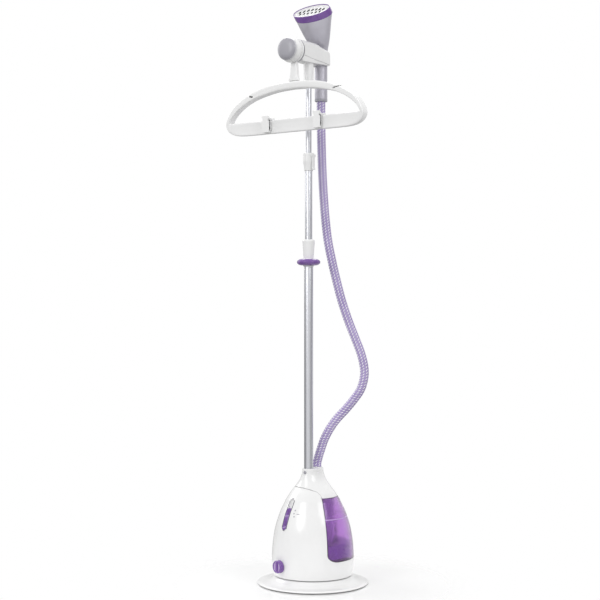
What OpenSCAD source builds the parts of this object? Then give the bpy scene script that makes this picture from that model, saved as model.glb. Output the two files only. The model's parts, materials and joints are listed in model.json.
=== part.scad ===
// Garment steamer: a round base with boiler, pump and side water tank, a three-section telescopic
// mast, a garment hanger on a swivel hub, and a hand-held steam head on a braided hose.
// Millimetres, +Z up, origin on the floor under the middle of the base. The control side faces -Y.

/* [Base] */
// Radius of the round foot plate
plate_r = 153; // [145:1:165]
// Height of the foot plate's flat top above the floor
plate_top = 25; // [24:0.5:26]
// Wall thickness of the white base housing
wall = 3; // [2.5:0.25:3.5]
// Height of the seam between housing and neck cover
seam_z = 270; // [264:1:271]
// Height of the neck's top
neck_z = 320; // [318:1:322]

/* [Tank] */
// Direction of the tank's middle, degrees from the front towards the right
tank_mid = 117; // [110:1:125]
// Half of the angle that the tank bay spans
tank_half = 60; // [55:1:62]
// Height of the bay's floor
bay_floor = 74.6; // [72:0.2:78]
// Height of the bay's ceiling
bay_ceiling = 243.6; // [240:0.2:245]
// Radius of the round core behind the tank
core_r = 57; // [56:0.5:60]

/* [Mast] */
// Distance of the mast's axis in front of the base's axis
mast_back = 19.5; // [18.5:0.5:19.5]
// Radius of the lower tube
low_r = 12.5; // [12:0.25:12.75]
// Radius of the middle tube
mid_r = 10; // [9.75:0.25:10]
// Radius of the upper tube
top_r = 8; // [7.5:0.25:8]
// Height of the twist collar's top
collar_top = 953; // [930:5:970]
// Height of the clamp collar's lower end
clamp_z = 1143; // [1140:1:1160]

/* [Hanger] */
// Distance of the hanger's middle plane in front of the base's axis
hanger_out = 85; // [85:0.5:86]
// Depth of the hanger's band
band_depth = 25; // [20:1:25]
// Distance of each clip from the middle of the bar
clip_x = 87; // [60:1:95]

/* [Steam head] */
// Distance of the handle's axis behind the base's axis
handle_back = 39; // [39:0.5:40]
// Radius of the handle
handle_r = 17.4; // [17:0.1:17.5]
// Half of the steam plate's length
plate_half = 61; // [56:1:64]
// Angle of the steam plate's normal above the horizon
plate_tilt = 48; // [44:1:52]
// Radius of the braided hose
hose_r = 12; // [11.5:0.1:12]

/* [Hidden] */

white = "white";
purple = "rebeccapurple";
grey = "silver";
steel = "lightsteelblue";
rubber = "dimgray";

eps = 0.01;          // overshoot of a cutter past the face it cuts
run = 0.05;          // radial clearance of a running or sliding fit
mast = [0, -mast_back];
hose_out = [0, 20];  // where the hose leaves the neck
bolt_r = 7;          // radius of the hanger's swivel bolt
hub_z = 1466;        // height of the hanger's swivel axis
split_z = 1458;      // seam between the bracket's two shells at its front face
split_fall = 0.125;  // fall of that seam towards the rear, as a slope
bracket_front = -80; // the bracket's front face
seat_z = 1440;       // underside of the bracket

// The base's outline: height and radius, joined by a smooth curve.
BODY = [[20, 108.2], [27, 109.6], [50, 112.6], [80, 113.4], [120, 110.6], [160, 103.6], [200, 90.5],
        [235, 74], [255, 61], [272, 47.5], [290, 36], [306, 30]];

// The hanger's outer and inner outlines, right half: distance from the middle and height.
RIM_OUT = [[-50, 1380], [0, 1382], [50, 1380], [100, 1372.5], [144, 1359.5], [178, 1343.5],
           [205, 1326.5], [224, 1305], [233, 1286], [234, 1273], [226, 1259.5], [209, 1250],
           [184, 1246], [140, 1245], [0, 1245], [-140, 1245]];
RIM_IN = [[-50, 1358.5], [0, 1360.5], [50, 1358.5], [100, 1351.5], [145, 1340.5], [178, 1326],
          [203, 1308.5], [218, 1293], [221, 1285], [214, 1282], [190, 1282], [0, 1282],
          [-190, 1282]];

// The hose's centre line, from the neck's socket up into the handle.
HOSE = [[0, 20, 314], [0, 20, 323], [0, 20, 331.5], [2.6, 22, 346], [8, 25, 366], [18, 30, 398], [32, 37, 428],
        [50, 46, 456], [72, 56, 482], [93, 66, 510], [109, 74, 536], [117, 78, 562], [119, 80, 588],
        [115, 79, 616], [107, 76, 645], [95, 71, 678], [77, 64, 726], [59, 57, 782], [44, 51, 842],
        [32, 46, 897], [22, 42, 950], [15, 40, 1007], [10, 39, 1066], [6, 39, 1120], [3, 39, 1180],
        [1, 39, 1240], [0, 39, 1300], [0, 39, 1345], [0, 39, 1395]];
STEAM_LINE = [[-50, 8, 98.1], [-50, 8, 130], [-46, 11, 165], [-34, 15, 200], [-16, 18, 232],
              [-3, 20, 260], [0, 20, 276], [0, 20, 289.7]];
INLET_LINE = [[34.5, 17.6, 95], [29, 14, 95], [25, 6, 89], [25, -8, 80], [27, -26, 76], [30, -44, 74],
              [31, -56, 72], [31, -60, 67], [31, -60, 61.5]];
FEED_LINE = [[13.6, -62, 42], [8, -62, 42], [0, -58, 43], [-10, -50, 46], [-22, -44, 50],
             [-31, -40, 53], [-35, -33.4, 54], [-37.5, -26.4, 54]];
DRAIN_LINE = [[-21.7, -81, 59.5], [-20.8, -77, 59.5], [-24.5, -67, 57], [-31, -54, 52], [-37, -44, 48],
              [-38.7, -34.1, 46], [-40.5, -27.4, 46]];

// The steam head's sections: middle's y and z, half width, half depth, lean forward in degrees.
HEAD = [[handle_back, 1348, handle_r + 0.3, handle_r + 0.3, 0],
        [handle_back, 1366, handle_r + 0.2, handle_r + 0.2, 0], [handle_back, 1400, handle_r, handle_r, 0],
        [handle_back, 1450, handle_r + 0.2, handle_r + 0.2, 0], [handle_back, 1478, 18.2, 17.9, 0],
        [38.2, 1488, 20.6, 18, 3], [30.5, 1504, 30.8, 21.8, 13], [21.8, 1526, 41, 25.8, 24],
        [12.5, 1552, 51, 28.5, 33], [6.1, 1574.1, plate_half - 1.3, 30.8, 42]];
rim_h = 20;          // height of the purple rim
plate_mid = [0, -7.3, 1589];

// ---------- curves ----------

// A point on the smooth curve through P, on the span that starts at point i, at share t of it.
function on_span(P, i, t) =
    let(n = len(P) - 1, a = P[max(i - 1, 0)], b = P[i], c = P[min(i + 1, n)], d = P[min(i + 2, n)])
    0.5 * (2 * b + t * (c - a) + t * t * (2 * a - 5 * b + 4 * c - d) + t * t * t * (3 * b - a - 3 * c + d));
// The smooth curve through P from point first to point last, in steps a span.
function curve(P, steps, first = 0, last = -1) =
    let(stop = last < 0 ? len(P) - 1 : last)
    [for (i = [first : stop - 1], k = [0 : steps - 1]) on_span(P, i, k / steps), P[stop]];
// Radius of the base's outside at height z.
function body_span(z, i = 0) = i >= len(BODY) - 2 || BODY[i + 1][0] >= z ? i : body_span(z, i + 1);
function body_r(z) =
    let(i = body_span(z), t = (z - BODY[i][0]) / (BODY[i + 1][0] - BODY[i][0]))
    on_span(BODY, i, t)[1];
function unit(v) = v / norm(v);
// Rings of a round tube that is swept along the points P.
function tube_ring(P, i, r, sides) =
    let(d = unit(P[min(i + 1, len(P) - 1)] - P[max(i - 1, 0)]),
        u = unit(cross(d, [0.6, -0.8, 0.05])), v = cross(d, u))
    [for (k = [0 : sides - 1]) P[i] + r * (cos(360 * k / sides) * u + sin(360 * k / sides) * v)];

// ---------- building blocks ----------

// A closed skin over rings of equal length.
module loft(rings) {
    n = len(rings[0]);
    m = len(rings);
    faces = concat(
        [[for (k = [0 : n - 1]) k]],
        [for (i = [0 : m - 2], k = [0 : n - 1])
            [i * n + k, (i + 1) * n + k, (i + 1) * n + (k + 1) % n, i * n + (k + 1) % n]],
        [[for (k = [n - 1 : -1 : 0]) (m - 1) * n + k]]);
    polyhedron([for (ring = rings, p = ring) p], faces);
}
module swept_tube(P, r, sides = 10) {
    loft([for (i = [0 : len(P) - 1]) tube_ring(P, i, r, sides)]);
}
// Turns +X to the direction that is angle degrees from the front towards the right.
module towards(angle) {
    rotate([0, 0, angle - 90]) children();
}
module tube(outer, inner, z0, z1) {
    translate([0, 0, z0]) difference() {
        cylinder(r = outer, h = z1 - z0, $fn = 64);
        translate([0, 0, -1]) cylinder(r = inner, h = z1 - z0 + 2, $fn = 64);
    }
}
// A ring segment between two directions.
module sector(r0, r1, a0, a1, z0, z1) {
    towards(a0) rotate_extrude(angle = a1 - a0, $fn = 96)
        translate([r0, z0]) square([r1 - r0, z1 - z0]);
}
// The space inside the base's outside, moved inwards by inset.
module body_space(z0, z1, inset) {
    n = ceil((z1 - z0) / 9);
    zs = [for (k = [0 : n]) z0 + (z1 - z0) * k / n];
    rotate_extrude($fn = 96)
        polygon(concat([[0, z0]], [for (z = zs) [body_r(z) - inset, z]], [[0, z1]]));
}
module oblong(width, length) {
    square([width, length - width], center = true);
    for (s = [-1, 1]) translate([0, s * (length - width) / 2]) circle(d = width, $fn = 40);
}

// ---------- base ----------

module base_plate() color(white) difference() {
    union() {
        rotate_extrude($fn = 128) polygon([
            [0, plate_top], [107, plate_top], [110.5, 23], [115, 17.5], [121, 13.2], [129, 10.2],
            [139, 8.4], [146, 7.6], [147, 6.8], [148, 7.4], [151, 7], [plate_r, 5.6], [plate_r, 4],
            [plate_r - 1.5, 3], [148, 3], [138, 4.4], [127, 6.2], [118, 9], [111, 14], [106, 20.5],
            [104, 21], [0, 21]]);
        tube(128, 117, 3, 10);
    }
    for (k = [0 : 3]) towards(45 + 90 * k)
        translate([88, 0, plate_top - 6]) cylinder(r = 2.2, h = 8, $fn = 24);
}
module rubber_feet() color(rubber) for (k = [0 : 5]) towards(60 * k)
    translate([122.5, 0, 0]) rotate_extrude($fn = 32)
        polygon([[0, 0], [4.5, 0], [5.3, 0.8], [5.3, 3], [0, 3]]);
module ballast_ring() color(grey) tube(80, 30, 12, 21);
module chassis() color(rubber) difference() {
    union() {
        translate([0, 0, plate_top]) cylinder(r = 104, h = 5, $fn = 96);
        for (k = [0 : 3]) towards(45 + 90 * k) translate([88, 0, 30]) cylinder(r = 6, h = 8, $fn = 32);
    }
    for (k = [0 : 3]) towards(45 + 90 * k) translate([88, 0, 20]) cylinder(r = 2.2, h = 16, $fn = 24);
}
slider_at = -13.3;   // direction of the steam slider
slot_low = 157;      // height of the slider slot's lower end
slot_high = 241;     // height of its upper end
slot_lean = atan((body_r(slot_low) - body_r(slot_high)) / (slot_high - slot_low));
slot_len = (slot_high - slot_low) / cos(slot_lean) + 2;
slot_w = 20;
slider_len = 62;
slider_travel = 26;
// Frame of the slider slot: +X out of the base, +Z up along the slot.
module in_slot() {
    towards(slider_at) translate([(body_r(slot_low) + body_r(slot_high)) / 2, 0, (slot_low + slot_high) / 2])
        rotate([0, -slot_lean, 0]) children();
}
module slot_prism(width, length, x0, x1, up = 0) {
    in_slot() translate([x0, 0, up]) rotate([90, 0, 90]) linear_extrude(x1 - x0) oblong(width, length);
}
knob_at = -15;       // direction of the drain knob
knob_z = 59.5;
module on_knob() {
    towards(knob_at) translate([0, 0, knob_z]) rotate([0, 90, 0]) children();
}
gland_at = 200;      // direction of the mains cord's gland
module front_housing() color(white) difference() {
    union() {
        difference() {
            body_space(27, seam_z, 0);
            body_space(26.9, seam_z + 0.1, wall);
        }
        tube(body_r(31) - wall + 0.2, 97, 30, 33);
    }
    intersection() {
        sector(core_r - 5, 140, tank_mid - tank_half, tank_mid + tank_half, bay_floor, bay_ceiling);
        window(0);
    }
    sector(40, 130, tank_mid - tank_half, tank_mid + tank_half, bay_ceiling - 0.3, 300);
    slot_prism(slot_w + 0.6, slot_len + 0.6, -14, 20);
    on_knob() translate([0, 0, 95]) cylinder(r = 9, h = 40, $fn = 40);
    towards(gland_at) translate([95, 0, 48]) rotate([0, 90, 0]) cylinder(r = 7, h = 30, $fn = 40);
}
// Half widths of the cover along X and Y at height z: round over the tank, oval at the neck's top.
NECK = concat([for (k = [0 : 3]) let(z = bay_ceiling + 7.4 * k) [z, body_r(z), body_r(z)]],
    [[279, 40.8, 46], [291, 32, 41.2], [306, 25.6, 37.4], [neck_z, 24.2, 36.4]]);
function oval(a, b, z, sides) = [for (k = [0 : sides - 1]) [a * cos(360 * k / sides), b * sin(360 * k / sides), z]];
module neck_space(inset, low, top) {
    rings = [for (p = curve(NECK, 2)) if (p[0] < top) p];
    last = rings[len(rings) - 1];
    loft(concat([oval(rings[0][1] - inset, rings[0][2] - inset, low, 48)],
        [for (k = [1 : len(rings) - 1]) oval(rings[k][1] - inset, rings[k][2] - inset, rings[k][0], 48)],
        [oval(last[1] - inset, last[2] - inset, top, 48)]));
}
module neck_cover() color(white) difference() {
    neck_space(0, bay_ceiling, neck_z);
    neck_space(wall, bay_ceiling - 1, neck_z - 4);
    sector(0, 130, tank_mid + tank_half - 0.3, tank_mid - tank_half + 360.3, bay_ceiling - 1, seam_z);
    translate([mast[0], mast[1], 300]) cylinder(r = low_r + 0.2, h = 40, $fn = 64);
    translate([hose_out[0], hose_out[1], 300]) cylinder(r = 14.65, h = 40, $fn = 64);
    translate([0, -25, 310]) rotate([90, 0, 0]) cylinder(r = 4.7, h = 30, $fn = 40);
}
// The tank's window seen along its pull direction: the lower corners are rounded.
module window(inset) towards(tank_mid) translate([30, 0, 0]) rotate([90, 0, 90]) linear_extrude(120)
    union() {
        w = body_r(bay_floor) * sin(tank_half) + 1 - inset;
        r = 20 - inset;
        low = bay_floor + inset;
        high = bay_ceiling - inset;
        translate([-w, low + r]) square([2 * w, high - low - r]);
        translate([r - w, low]) square([2 * (w - r), high - low]);
        for (s = [-1, 1]) translate([s * (w - r), low + r]) circle(r = r, $fn = 48);
    }
module bay_space(inset) intersection() {
    sector(core_r + inset, 140, tank_mid - tank_half + inset / 2, tank_mid + tank_half - inset / 2,
        bay_floor + inset, bay_ceiling - inset);
    window(inset);
}
module tank_bay() color(white) difference() {
    intersection() {
        bay_space(-3);
        body_space(60, 250, wall + 0.9);
    }
    bay_space(0);
    towards(tank_mid) translate([40, 0, 95]) rotate([0, 90, 0]) cylinder(r = 8, h = 30, $fn = 40);
}
lid_z = 188;         // seam between the tank's body and its lid
tank_gap = 0.6;
tank_wall = 2.4;
module tank_outside(z0, z1) intersection() {
    bay_space(tank_gap);
    body_space(z0, z1, 0);
}
module tank_inside(z0, z1) intersection() {
    bay_space(tank_gap + tank_wall);
    body_space(z0, z1, tank_wall);
}
module tank_body() color(purple, 0.6) difference() {
    tank_outside(bay_floor + tank_gap, lid_z);
    tank_inside(bay_floor + tank_gap + tank_wall, lid_z + 1);
    towards(tank_mid) translate([50, 0, 95]) rotate([0, 90, 0]) cylinder(r = 7, h = 20, $fn = 40);
}
module tank_lid() color(purple, 0.6) difference() {
    tank_outside(lid_z, bay_ceiling - tank_gap);
    tank_inside(lid_z - 1, bay_ceiling - tank_gap - tank_wall);
}
module tank_valve() color(purple) towards(tank_mid) translate([0, 0, 95]) rotate([0, 90, 0]) difference() {
    union() {
        translate([0, 0, 45]) cylinder(r = 7, h = 18, $fn = 40);
        translate([0, 0, 60.2]) cylinder(r = 12, h = 14, $fn = 40);
    }
    translate([0, 0, 44]) cylinder(r = 3.5, h = 28, $fn = 32);
}
module valve_seat() color(white) towards(tank_mid) translate([0, 0, 95]) rotate([0, 90, 0]) difference() {
    union() {
        translate([0, 0, 40]) cylinder(r = 11, h = 12.7, $fn = 40);
        translate([0, 0, 40]) cylinder(r = 5, h = 4, $fn = 32);
    }
    translate([0, 0, 44]) cylinder(r = 7 + run, h = 12, $fn = 40);
    translate([0, 0, 38.9]) cylinder(r = 3, h = 12, $fn = 32);
}
module pump() color("dimgray") {
    translate([14, -76, 30]) cube([34, 24, 31]);
    translate([47.9, -64, 50]) rotate([0, 90, 0]) cylinder(r = 11, h = 22, $fn = 40);
}
module inlet_pipe() color("whitesmoke") swept_tube(curve(INLET_LINE, 2), 3.5, 8);
module feed_pipe() color("whitesmoke") swept_tube(curve(FEED_LINE, 2), 3.2, 8);
module drain_pipe() color("whitesmoke") swept_tube(curve(DRAIN_LINE, 2), 3.2, 8);
module steam_pipe() color("whitesmoke") swept_tube(curve(STEAM_LINE, 2), 6, 10);
boiler = [-50, 8];
module at_boiler() translate([boiler[0], boiler[1], 0]) children();
terminals = [-60, 60];   // directions of the element's two terminals from the boiler's middle
module boiler_base() color("darkgray") at_boiler() difference() {
    union() {
        tube(36, 32.5, 36, 61);
        translate([0, 0, 36]) cylinder(r = 36, h = 5, $fn = 64);
        tube(40, 32.5, 58, 61);
        for (a = [0, 120, 240]) rotate([0, 0, a]) translate([30, 0, 30]) cylinder(r = 4, h = 8, $fn = 32);
    }
    for (a = terminals) rotate([0, 0, a]) translate([22, 0, 30]) cylinder(r = 2.2, h = 20, $fn = 24);
}
module boiler_gasket() color("firebrick") at_boiler() tube(39.5, 32.5, 61, 63);
module boiler_lid() color("darkgray") at_boiler() rotate_extrude($fn = 64) polygon([
    [32.5, 63], [40, 63], [40, 66], [36, 66], [35, 74], [31, 82], [24, 87.5], [15, 90.5], [9, 91],
    [9, 98], [6.6, 98], [6.6, 88.5], [14, 87.5], [22.5, 84.5], [28.5, 80], [32, 73]]);
module heating_element() color(grey) at_boiler() {
    rotate([0, 0, terminals[1]]) rotate_extrude(angle = 240, $fn = 64)
        translate([22, 45.5]) circle(r = 3.2, $fn = 24);
    for (a = terminals) rotate([0, 0, a]) translate([22, 0, 32]) cylinder(r = 2.1, h = 14, $fn = 24);
}
module thermostat() color("whitesmoke") at_boiler() {
    translate([0, 0, 31.5]) cylinder(r = 8, h = 4.5, $fn = 40);
    translate([-10, -3, 31]) cube([20, 6, 2]);
}
module drain_valve() color(white) on_knob() difference() {
    union() {
        translate([0, 0, 84]) cylinder(r = 11, h = 18, $fn = 40);
        translate([0, 0, 102 - eps]) cylinder(r = 8.8, h = 10, $fn = 40);
    }
    translate([0, 0, 88]) cylinder(r = 7 + run, h = 30, $fn = 40);
    translate([0, 0, 83]) cylinder(r = 3, h = 10, $fn = 24);
}
// Push and turn knob: a stepped round body with a grip bar across its face.
module drain_knob() color(purple) {
    on_knob() rotate_extrude($fn = 64) polygon([
        [0, 90], [7, 90], [7, 113.8], [16.8, 113.8], [17.6, 114.8], [17.6, 116.8], [15.6, 118.6],
        [15.6, 120.4], [16.9, 121.4], [17.3, 123], [17.3, 125.8], [16, 127.8], [14.4, 126.6],
        [12.6, 124.8], [0, 124.4]]);
    on_knob() translate([-12, -3.2, 124]) cube([24, 6.4, 4.2]);
}
module slider_tray() color(grey) difference() {
    intersection() {
        slot_prism(slot_w, slot_len, -8, 14);
        body_space(100, 262, -0.8);
    }
    slot_prism(slot_w - 2.4, slot_len - 2.4, -6, 20);
    in_slot() translate([-7, -2.6, -slot_len / 2 + 8]) cube([12, 5.2, slot_len - 30]);
    in_slot() translate([-9, -2.6, -24]) cube([12, 5.2, 44]);
}
module steam_slider() color(purple) {
    intersection() {
        slot_prism(slot_w - 3, slider_len, -5.6, 14, -slider_travel / 2);
        body_space(100, 262, -1.4);
    }
    in_slot() translate([-11.6, -2, -16]) cube([7, 4, 7]);
}
module slide_switch() color("black") in_slot() difference() {
    translate([-22, -8, -26]) cube([12.6, 16, 46]);
    translate([-13, -3, -20]) cube([10, 6, 38]);
}
board_d = 58;        // distance of the control board in front of the base's axis
module control_board() color("seagreen") towards(slider_at) {
    translate([board_d, -24, 120]) cube([1.6, 48, 58]);
    translate([board_d + 1.5, -18, 130]) cube([9, 14, 16]);
    translate([board_d + 1.5, 4, 128]) cube([7, 10, 22]);
}
module board_bracket() color(white) {
    translate([mast[0], mast[1], 0]) tube(17.5, 14.1, 135, 160);
    towards(slider_at) difference() {
        translate([28, -5, 138]) cube([board_d - 28, 10, 18]);
        rotate([0, 0, 90 - slider_at]) translate([mast[0], mast[1], 130]) cylinder(r = 16.5, h = 40, $fn = 64);
    }
}
module cord_gland() color("black") towards(gland_at) translate([0, 0, 48]) rotate([0, 90, 0]) difference() {
    union() {
        translate([0, 0, body_r(48) - 5]) cylinder(r = 6.8, h = 6, $fn = 40);
        translate([0, 0, body_r(48) + 0.6]) cylinder(r1 = 9.5, r2 = 8, h = 4, $fn = 40);
        translate([0, 0, body_r(48) - 8]) cylinder(r = 9, h = 3.5, $fn = 40);
    }
    translate([0, 0, 90]) cylinder(r = 3.6, h = 40, $fn = 32);
}

// ---------- mast ----------

socket_floor = 205;  // the lower tube stands here
module at_mast() translate([mast[0], mast[1], 0]) children();
module mast_socket() color(white) at_mast() difference() {
    union() {
        translate([0, 0, 30]) cylinder(r = 14, h = 286, $fn = 64);
        translate([0, 0, 30]) cylinder(r = 22, h = 4, $fn = 64);
    }
    translate([0, 0, socket_floor]) cylinder(r = low_r + run, h = 200, $fn = 64);
    translate([0, 0, 34]) cylinder(r = 12, h = socket_floor - 38, $fn = 64);
    translate([0, 0, 310]) rotate([90, 0, 0]) cylinder(r = 5, h = 30, $fn = 40);
}
module release_button() color(grey) translate([0, 0, 310]) rotate([90, 0, 0]) rotate_extrude($fn = 40)
    polygon([[0, 33.8], [4.4, 33.8], [4.4, 38], [3.6, 38.8], [0, 39]]);
module hose_socket() color(white) translate([hose_out[0], hose_out[1], 0]) difference() {
    union() {
        translate([0, 0, 316]) cylinder(r = 14.6, h = 6, $fn = 64);
        translate([0, 0, 306]) cylinder(r = 13, h = 11, $fn = 64);
        translate([0, 0, 290]) cylinder(r = 9, h = 17, $fn = 48);
    }
    translate([0, 0, 314]) cylinder(r = hose_r + 0.4, h = 20, $fn = 64);
    translate([0, 0, 280]) cylinder(r = 5, h = 40, $fn = 40);
}
module hose() color("thistle") swept_tube(curve(HOSE, 2), hose_r, 10);
low_top = 930;       // top end of the lower tube
module lower_tube() color(steel) at_mast() tube(low_r, low_r - 1.2, socket_floor, low_top);
module twist_collar() color(white) at_mast() rotate_extrude($fn = 64) polygon([
    [low_r, 879], [15, 879], [15, 881.5], [14.2, 881.5], [14.2, 900], [13.8, 900.4], [16.4, 940],
    [17, 950.4], [16, collar_top], [mid_r + 0.1, collar_top], [mid_r + 0.1, low_top], [low_r, low_top]]);
module lock_ring() color(purple) at_mast() rotate_extrude($fn = 96) polygon(concat(
    [[14.2 + run, 899.5], [14.2 + run, 881.7], [22, 881.7]],
    [for (a = [-70 : 20 : 70]) [22 + 10.5 * cos(a), 890.6 + 8.9 * sin(a)]],
    [[22, 899.5]]));
mid_top = 1165;      // top end of the middle tube
module middle_tube() color(steel) at_mast() tube(mid_r, mid_r - 1.2, 740, mid_top);
module middle_bush() color("whitesmoke") at_mast() difference() {
    union() {
        translate([0, 0, 722]) cylinder(r = low_r - 1.2 - run, h = 18, $fn = 64);
        translate([0, 0, 740 - eps]) cylinder(r = mid_r - 1.2, h = 12, $fn = 64);
    }
    translate([0, 0, 720]) cylinder(r = 5, h = 40, $fn = 40);
}
lever_x = 15;        // the clamp lever's pin, out from the mast's axis
lever_z = clamp_z + 41.5;
module clamp_collar() color(white) at_mast() difference() {
    union() {
        rotate_extrude($fn = 64) polygon([
            [mid_r + run, clamp_z], [11.8, clamp_z], [12.4, clamp_z + 1], [13.4, clamp_z + 14],
            [15.1, clamp_z + 23], [15.4, clamp_z + 30], [15.4, clamp_z + 46.5], [14.4, clamp_z + 49],
            [top_r + 0.1, clamp_z + 49], [top_r + 0.1, mid_top], [mid_r + run, mid_top]]);
        for (s = [-1, 1]) translate([8, s * 7.4 - 1.3, lever_z - 3.4]) cube([lever_x - 5.4, 2.6, 6.8]);
    }
    translate([lever_x, 0, lever_z]) rotate([90, 0, 0]) cylinder(r = 1.5, h = 40, center = true, $fn = 24);
    translate([12, -6, clamp_z - 1]) cube([12, 12, 60]);
}
module clamp_lever() color(white) at_mast() difference() {
    union() {
        translate([lever_x - 0.6, -5.8, clamp_z + 3]) cube([3.2, 11.6, lever_z - clamp_z - 3]);
        translate([lever_x, 0, lever_z]) rotate([90, 0, 0]) cylinder(r = 2.6, h = 11.6, center = true, $fn = 40);
        translate([lever_x + 1.6, -5.8, clamp_z + 3]) cube([2.4, 11.6, 4]);
    }
    translate([lever_x, 0, lever_z]) rotate([90, 0, 0]) cylinder(r = 1.5 + run, h = 20, center = true, $fn = 24);
}
module lever_pin() color(grey) at_mast() translate([lever_x, 0, lever_z]) rotate([90, 0, 0])
    cylinder(r = 1.5, h = 17.4, center = true, $fn = 24);
top_end = 1400;      // top end of the upper tube
module upper_tube() color(steel) at_mast() tube(top_r, top_r - 1.1, 970, top_end);
module upper_bush() color("whitesmoke") at_mast() difference() {
    union() {
        translate([0, 0, 954]) cylinder(r = mid_r - 1.2 - run, h = 16, $fn = 64);
        translate([0, 0, 970 - eps]) cylinder(r = top_r - 1.1, h = 12, $fn = 64);
    }
    translate([0, 0, 950]) cylinder(r = 4, h = 40, $fn = 32);
}

// ---------- bracket and hanger ----------

// Outline of the bracket seen from above: a bar that widens into a fork round the handle.
module bracket_plan() difference() {
    union() {
        translate([-19.5, bracket_front]) square([39, 100]);
        polygon([[-19.5, -14], [19.5, -14], [26.5, 20], [26.5, 45], [23, 51], [-23, 51], [-26.5, 45],
                 [-26.5, 20]]);
    }
    translate([0, handle_back]) circle(r = 18.6, $fn = 64);
    translate([-18.6, handle_back]) square([37.2, 40]);
}
// A block as wide as the bracket with the outline p in the Y-Z plane.
module side_profile(p) {
    rotate([90, 0, 90]) translate([0, 0, -40]) linear_extrude(80) polygon(p);
}
// The half space above the seam, moved up by gap.
module above_seam(gap) side_profile([
    [bracket_front - 5, split_z + gap + 5 * split_fall], [80, split_z + gap - (80 - bracket_front) * split_fall],
    [80, 1520], [bracket_front - 5, 1520]]);
module bracket_upper() color(white) difference() {
    intersection() {
        translate([0, 0, seat_z]) linear_extrude(80) bracket_plan();
        above_seam(0);
        side_profile([[bracket_front, seat_z], [bracket_front, 1494], [-76, 1497.4], [-20, 1499],
                      [-2, 1498], [6, 1492], [14, 1487], [27, 1482], [39, 1479], [46, 1473],
                      [50, 1462], [50.5, 1452], [48, seat_z]]);
        rotate([90, 0, 0]) translate([0, 0, -70]) linear_extrude(160) polygon([
            [-26.5, seat_z], [26.5, seat_z], [26.5, 1477], [24, 1483], [19.5, 1488], [17.5, 1491],
            [13, 1495.4], [7, 1499], [-7, 1499], [-13, 1495.4], [-17.5, 1491], [-19.5, 1488],
            [-24, 1483], [-26.5, 1477]]);
    }
    translate([0, -62, hub_z]) rotate([90, 0, 0]) cylinder(r = bolt_r, h = 30, $fn = 48);
    for (y = [-48, 4]) translate([0, y, seat_z]) cylinder(r = 1.6, h = 26, $fn = 24);
}
module bracket_lower() color(white) difference() {
    union() {
        difference() {
            intersection() {
                translate([0, 0, seat_z]) linear_extrude(30) bracket_plan();
                side_profile([[bracket_front, split_z + 1], [49, split_z + 1], [49, seat_z + 1], [47, seat_z],
                              [-66, seat_z], [-76, 1444], [bracket_front, 1450]]);
            }
            above_seam(0);
        }
        at_mast() translate([0, 0, 1372]) cylinder(r1 = 13.8, r2 = 14.6, h = seat_z - 1372 + 1, $fn = 64);
    }
    at_mast() translate([0, 0, 1300]) cylinder(r = top_r + run, h = top_end - 1300, $fn = 64);
    for (y = [-48, 4]) translate([0, y, seat_z - 2]) cylinder(r = 1.8, h = 20, $fn = 24);
    for (y = [-48, 4]) translate([0, y, seat_z - 2]) cylinder(r = 3.4, h = 4.6, $fn = 32);
}
module bracket_screws() color(grey) for (y = [-48, 4]) translate([0, y, 0]) {
    translate([0, 0, seat_z + 0.2]) cylinder(r = 3.2, h = 2.4, $fn = 32);
    translate([0, 0, seat_z + 2.5]) cylinder(r = 1.5, h = 22, $fn = 24);
}
module along_hub() translate([0, 0, hub_z]) rotate([90, 0, 0]) children();
module pivot_bolt() color(grey) along_hub() {
    translate([0, 0, 62]) cylinder(r = bolt_r, h = 46, $fn = 48);
}
module hub_washer() color(rubber) along_hub() tube(25, bolt_r + 0.1, 80, 82);
module hanger_hub() color(white) difference() {
    union() {
        along_hub() rotate_extrude($fn = 96) polygon([
            [0, 82.2], [32.6, 82.2], [34, 83.6], [34, 90], [32.6, 91.4], [0, 91.4]]);
        translate([0, -80.5, 0]) rotate([90, 0, 0]) linear_extrude(10.9) polygon([
            [-7, 1440], [10.4, 1440], [11.2, 1420], [12.8, 1400], [14.8, 1390], [18, 1383], [12, 1383.8],
            [0, 1384.4], [-12, 1383.8], [-17, 1383.2], [-12, 1392], [-9, 1405], [-7.4, 1425]]);
    }
    along_hub() translate([0, 0, 70]) cylinder(r = bolt_r + run, h = 40, $fn = 48);
}
module half_outline(P, steps) {
    pts = [for (p = curve(P, steps, 1, len(P) - 2)) p];
    polygon(concat(pts, [for (i = [len(pts) - 2 : -1 : 1]) [-pts[i][0], pts[i][1]]]));
}
bar_depth = 14;
module hanger_frame() color(white) difference() {
    translate([0, -hanger_out + band_depth / 2, 0]) rotate([90, 0, 0]) linear_extrude(band_depth) difference() {
        half_outline(RIM_OUT, 3);
        half_outline(RIM_IN, 3);
    }
    for (s = [-1, 1]) translate([-200, s > 0 ? -hanger_out + bar_depth / 2 : -hanger_out - bar_depth / 2 - 20, 1240])
        cube([400, 20, 43]);
    for (s = [-1, 1]) translate([s * 147, -hanger_out, 1352.5]) rotate([0, -s * 12, 0])
        translate([s > 0 ? -11 : -12, -20, -2]) cube([23, 20, 4]);
}
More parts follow.
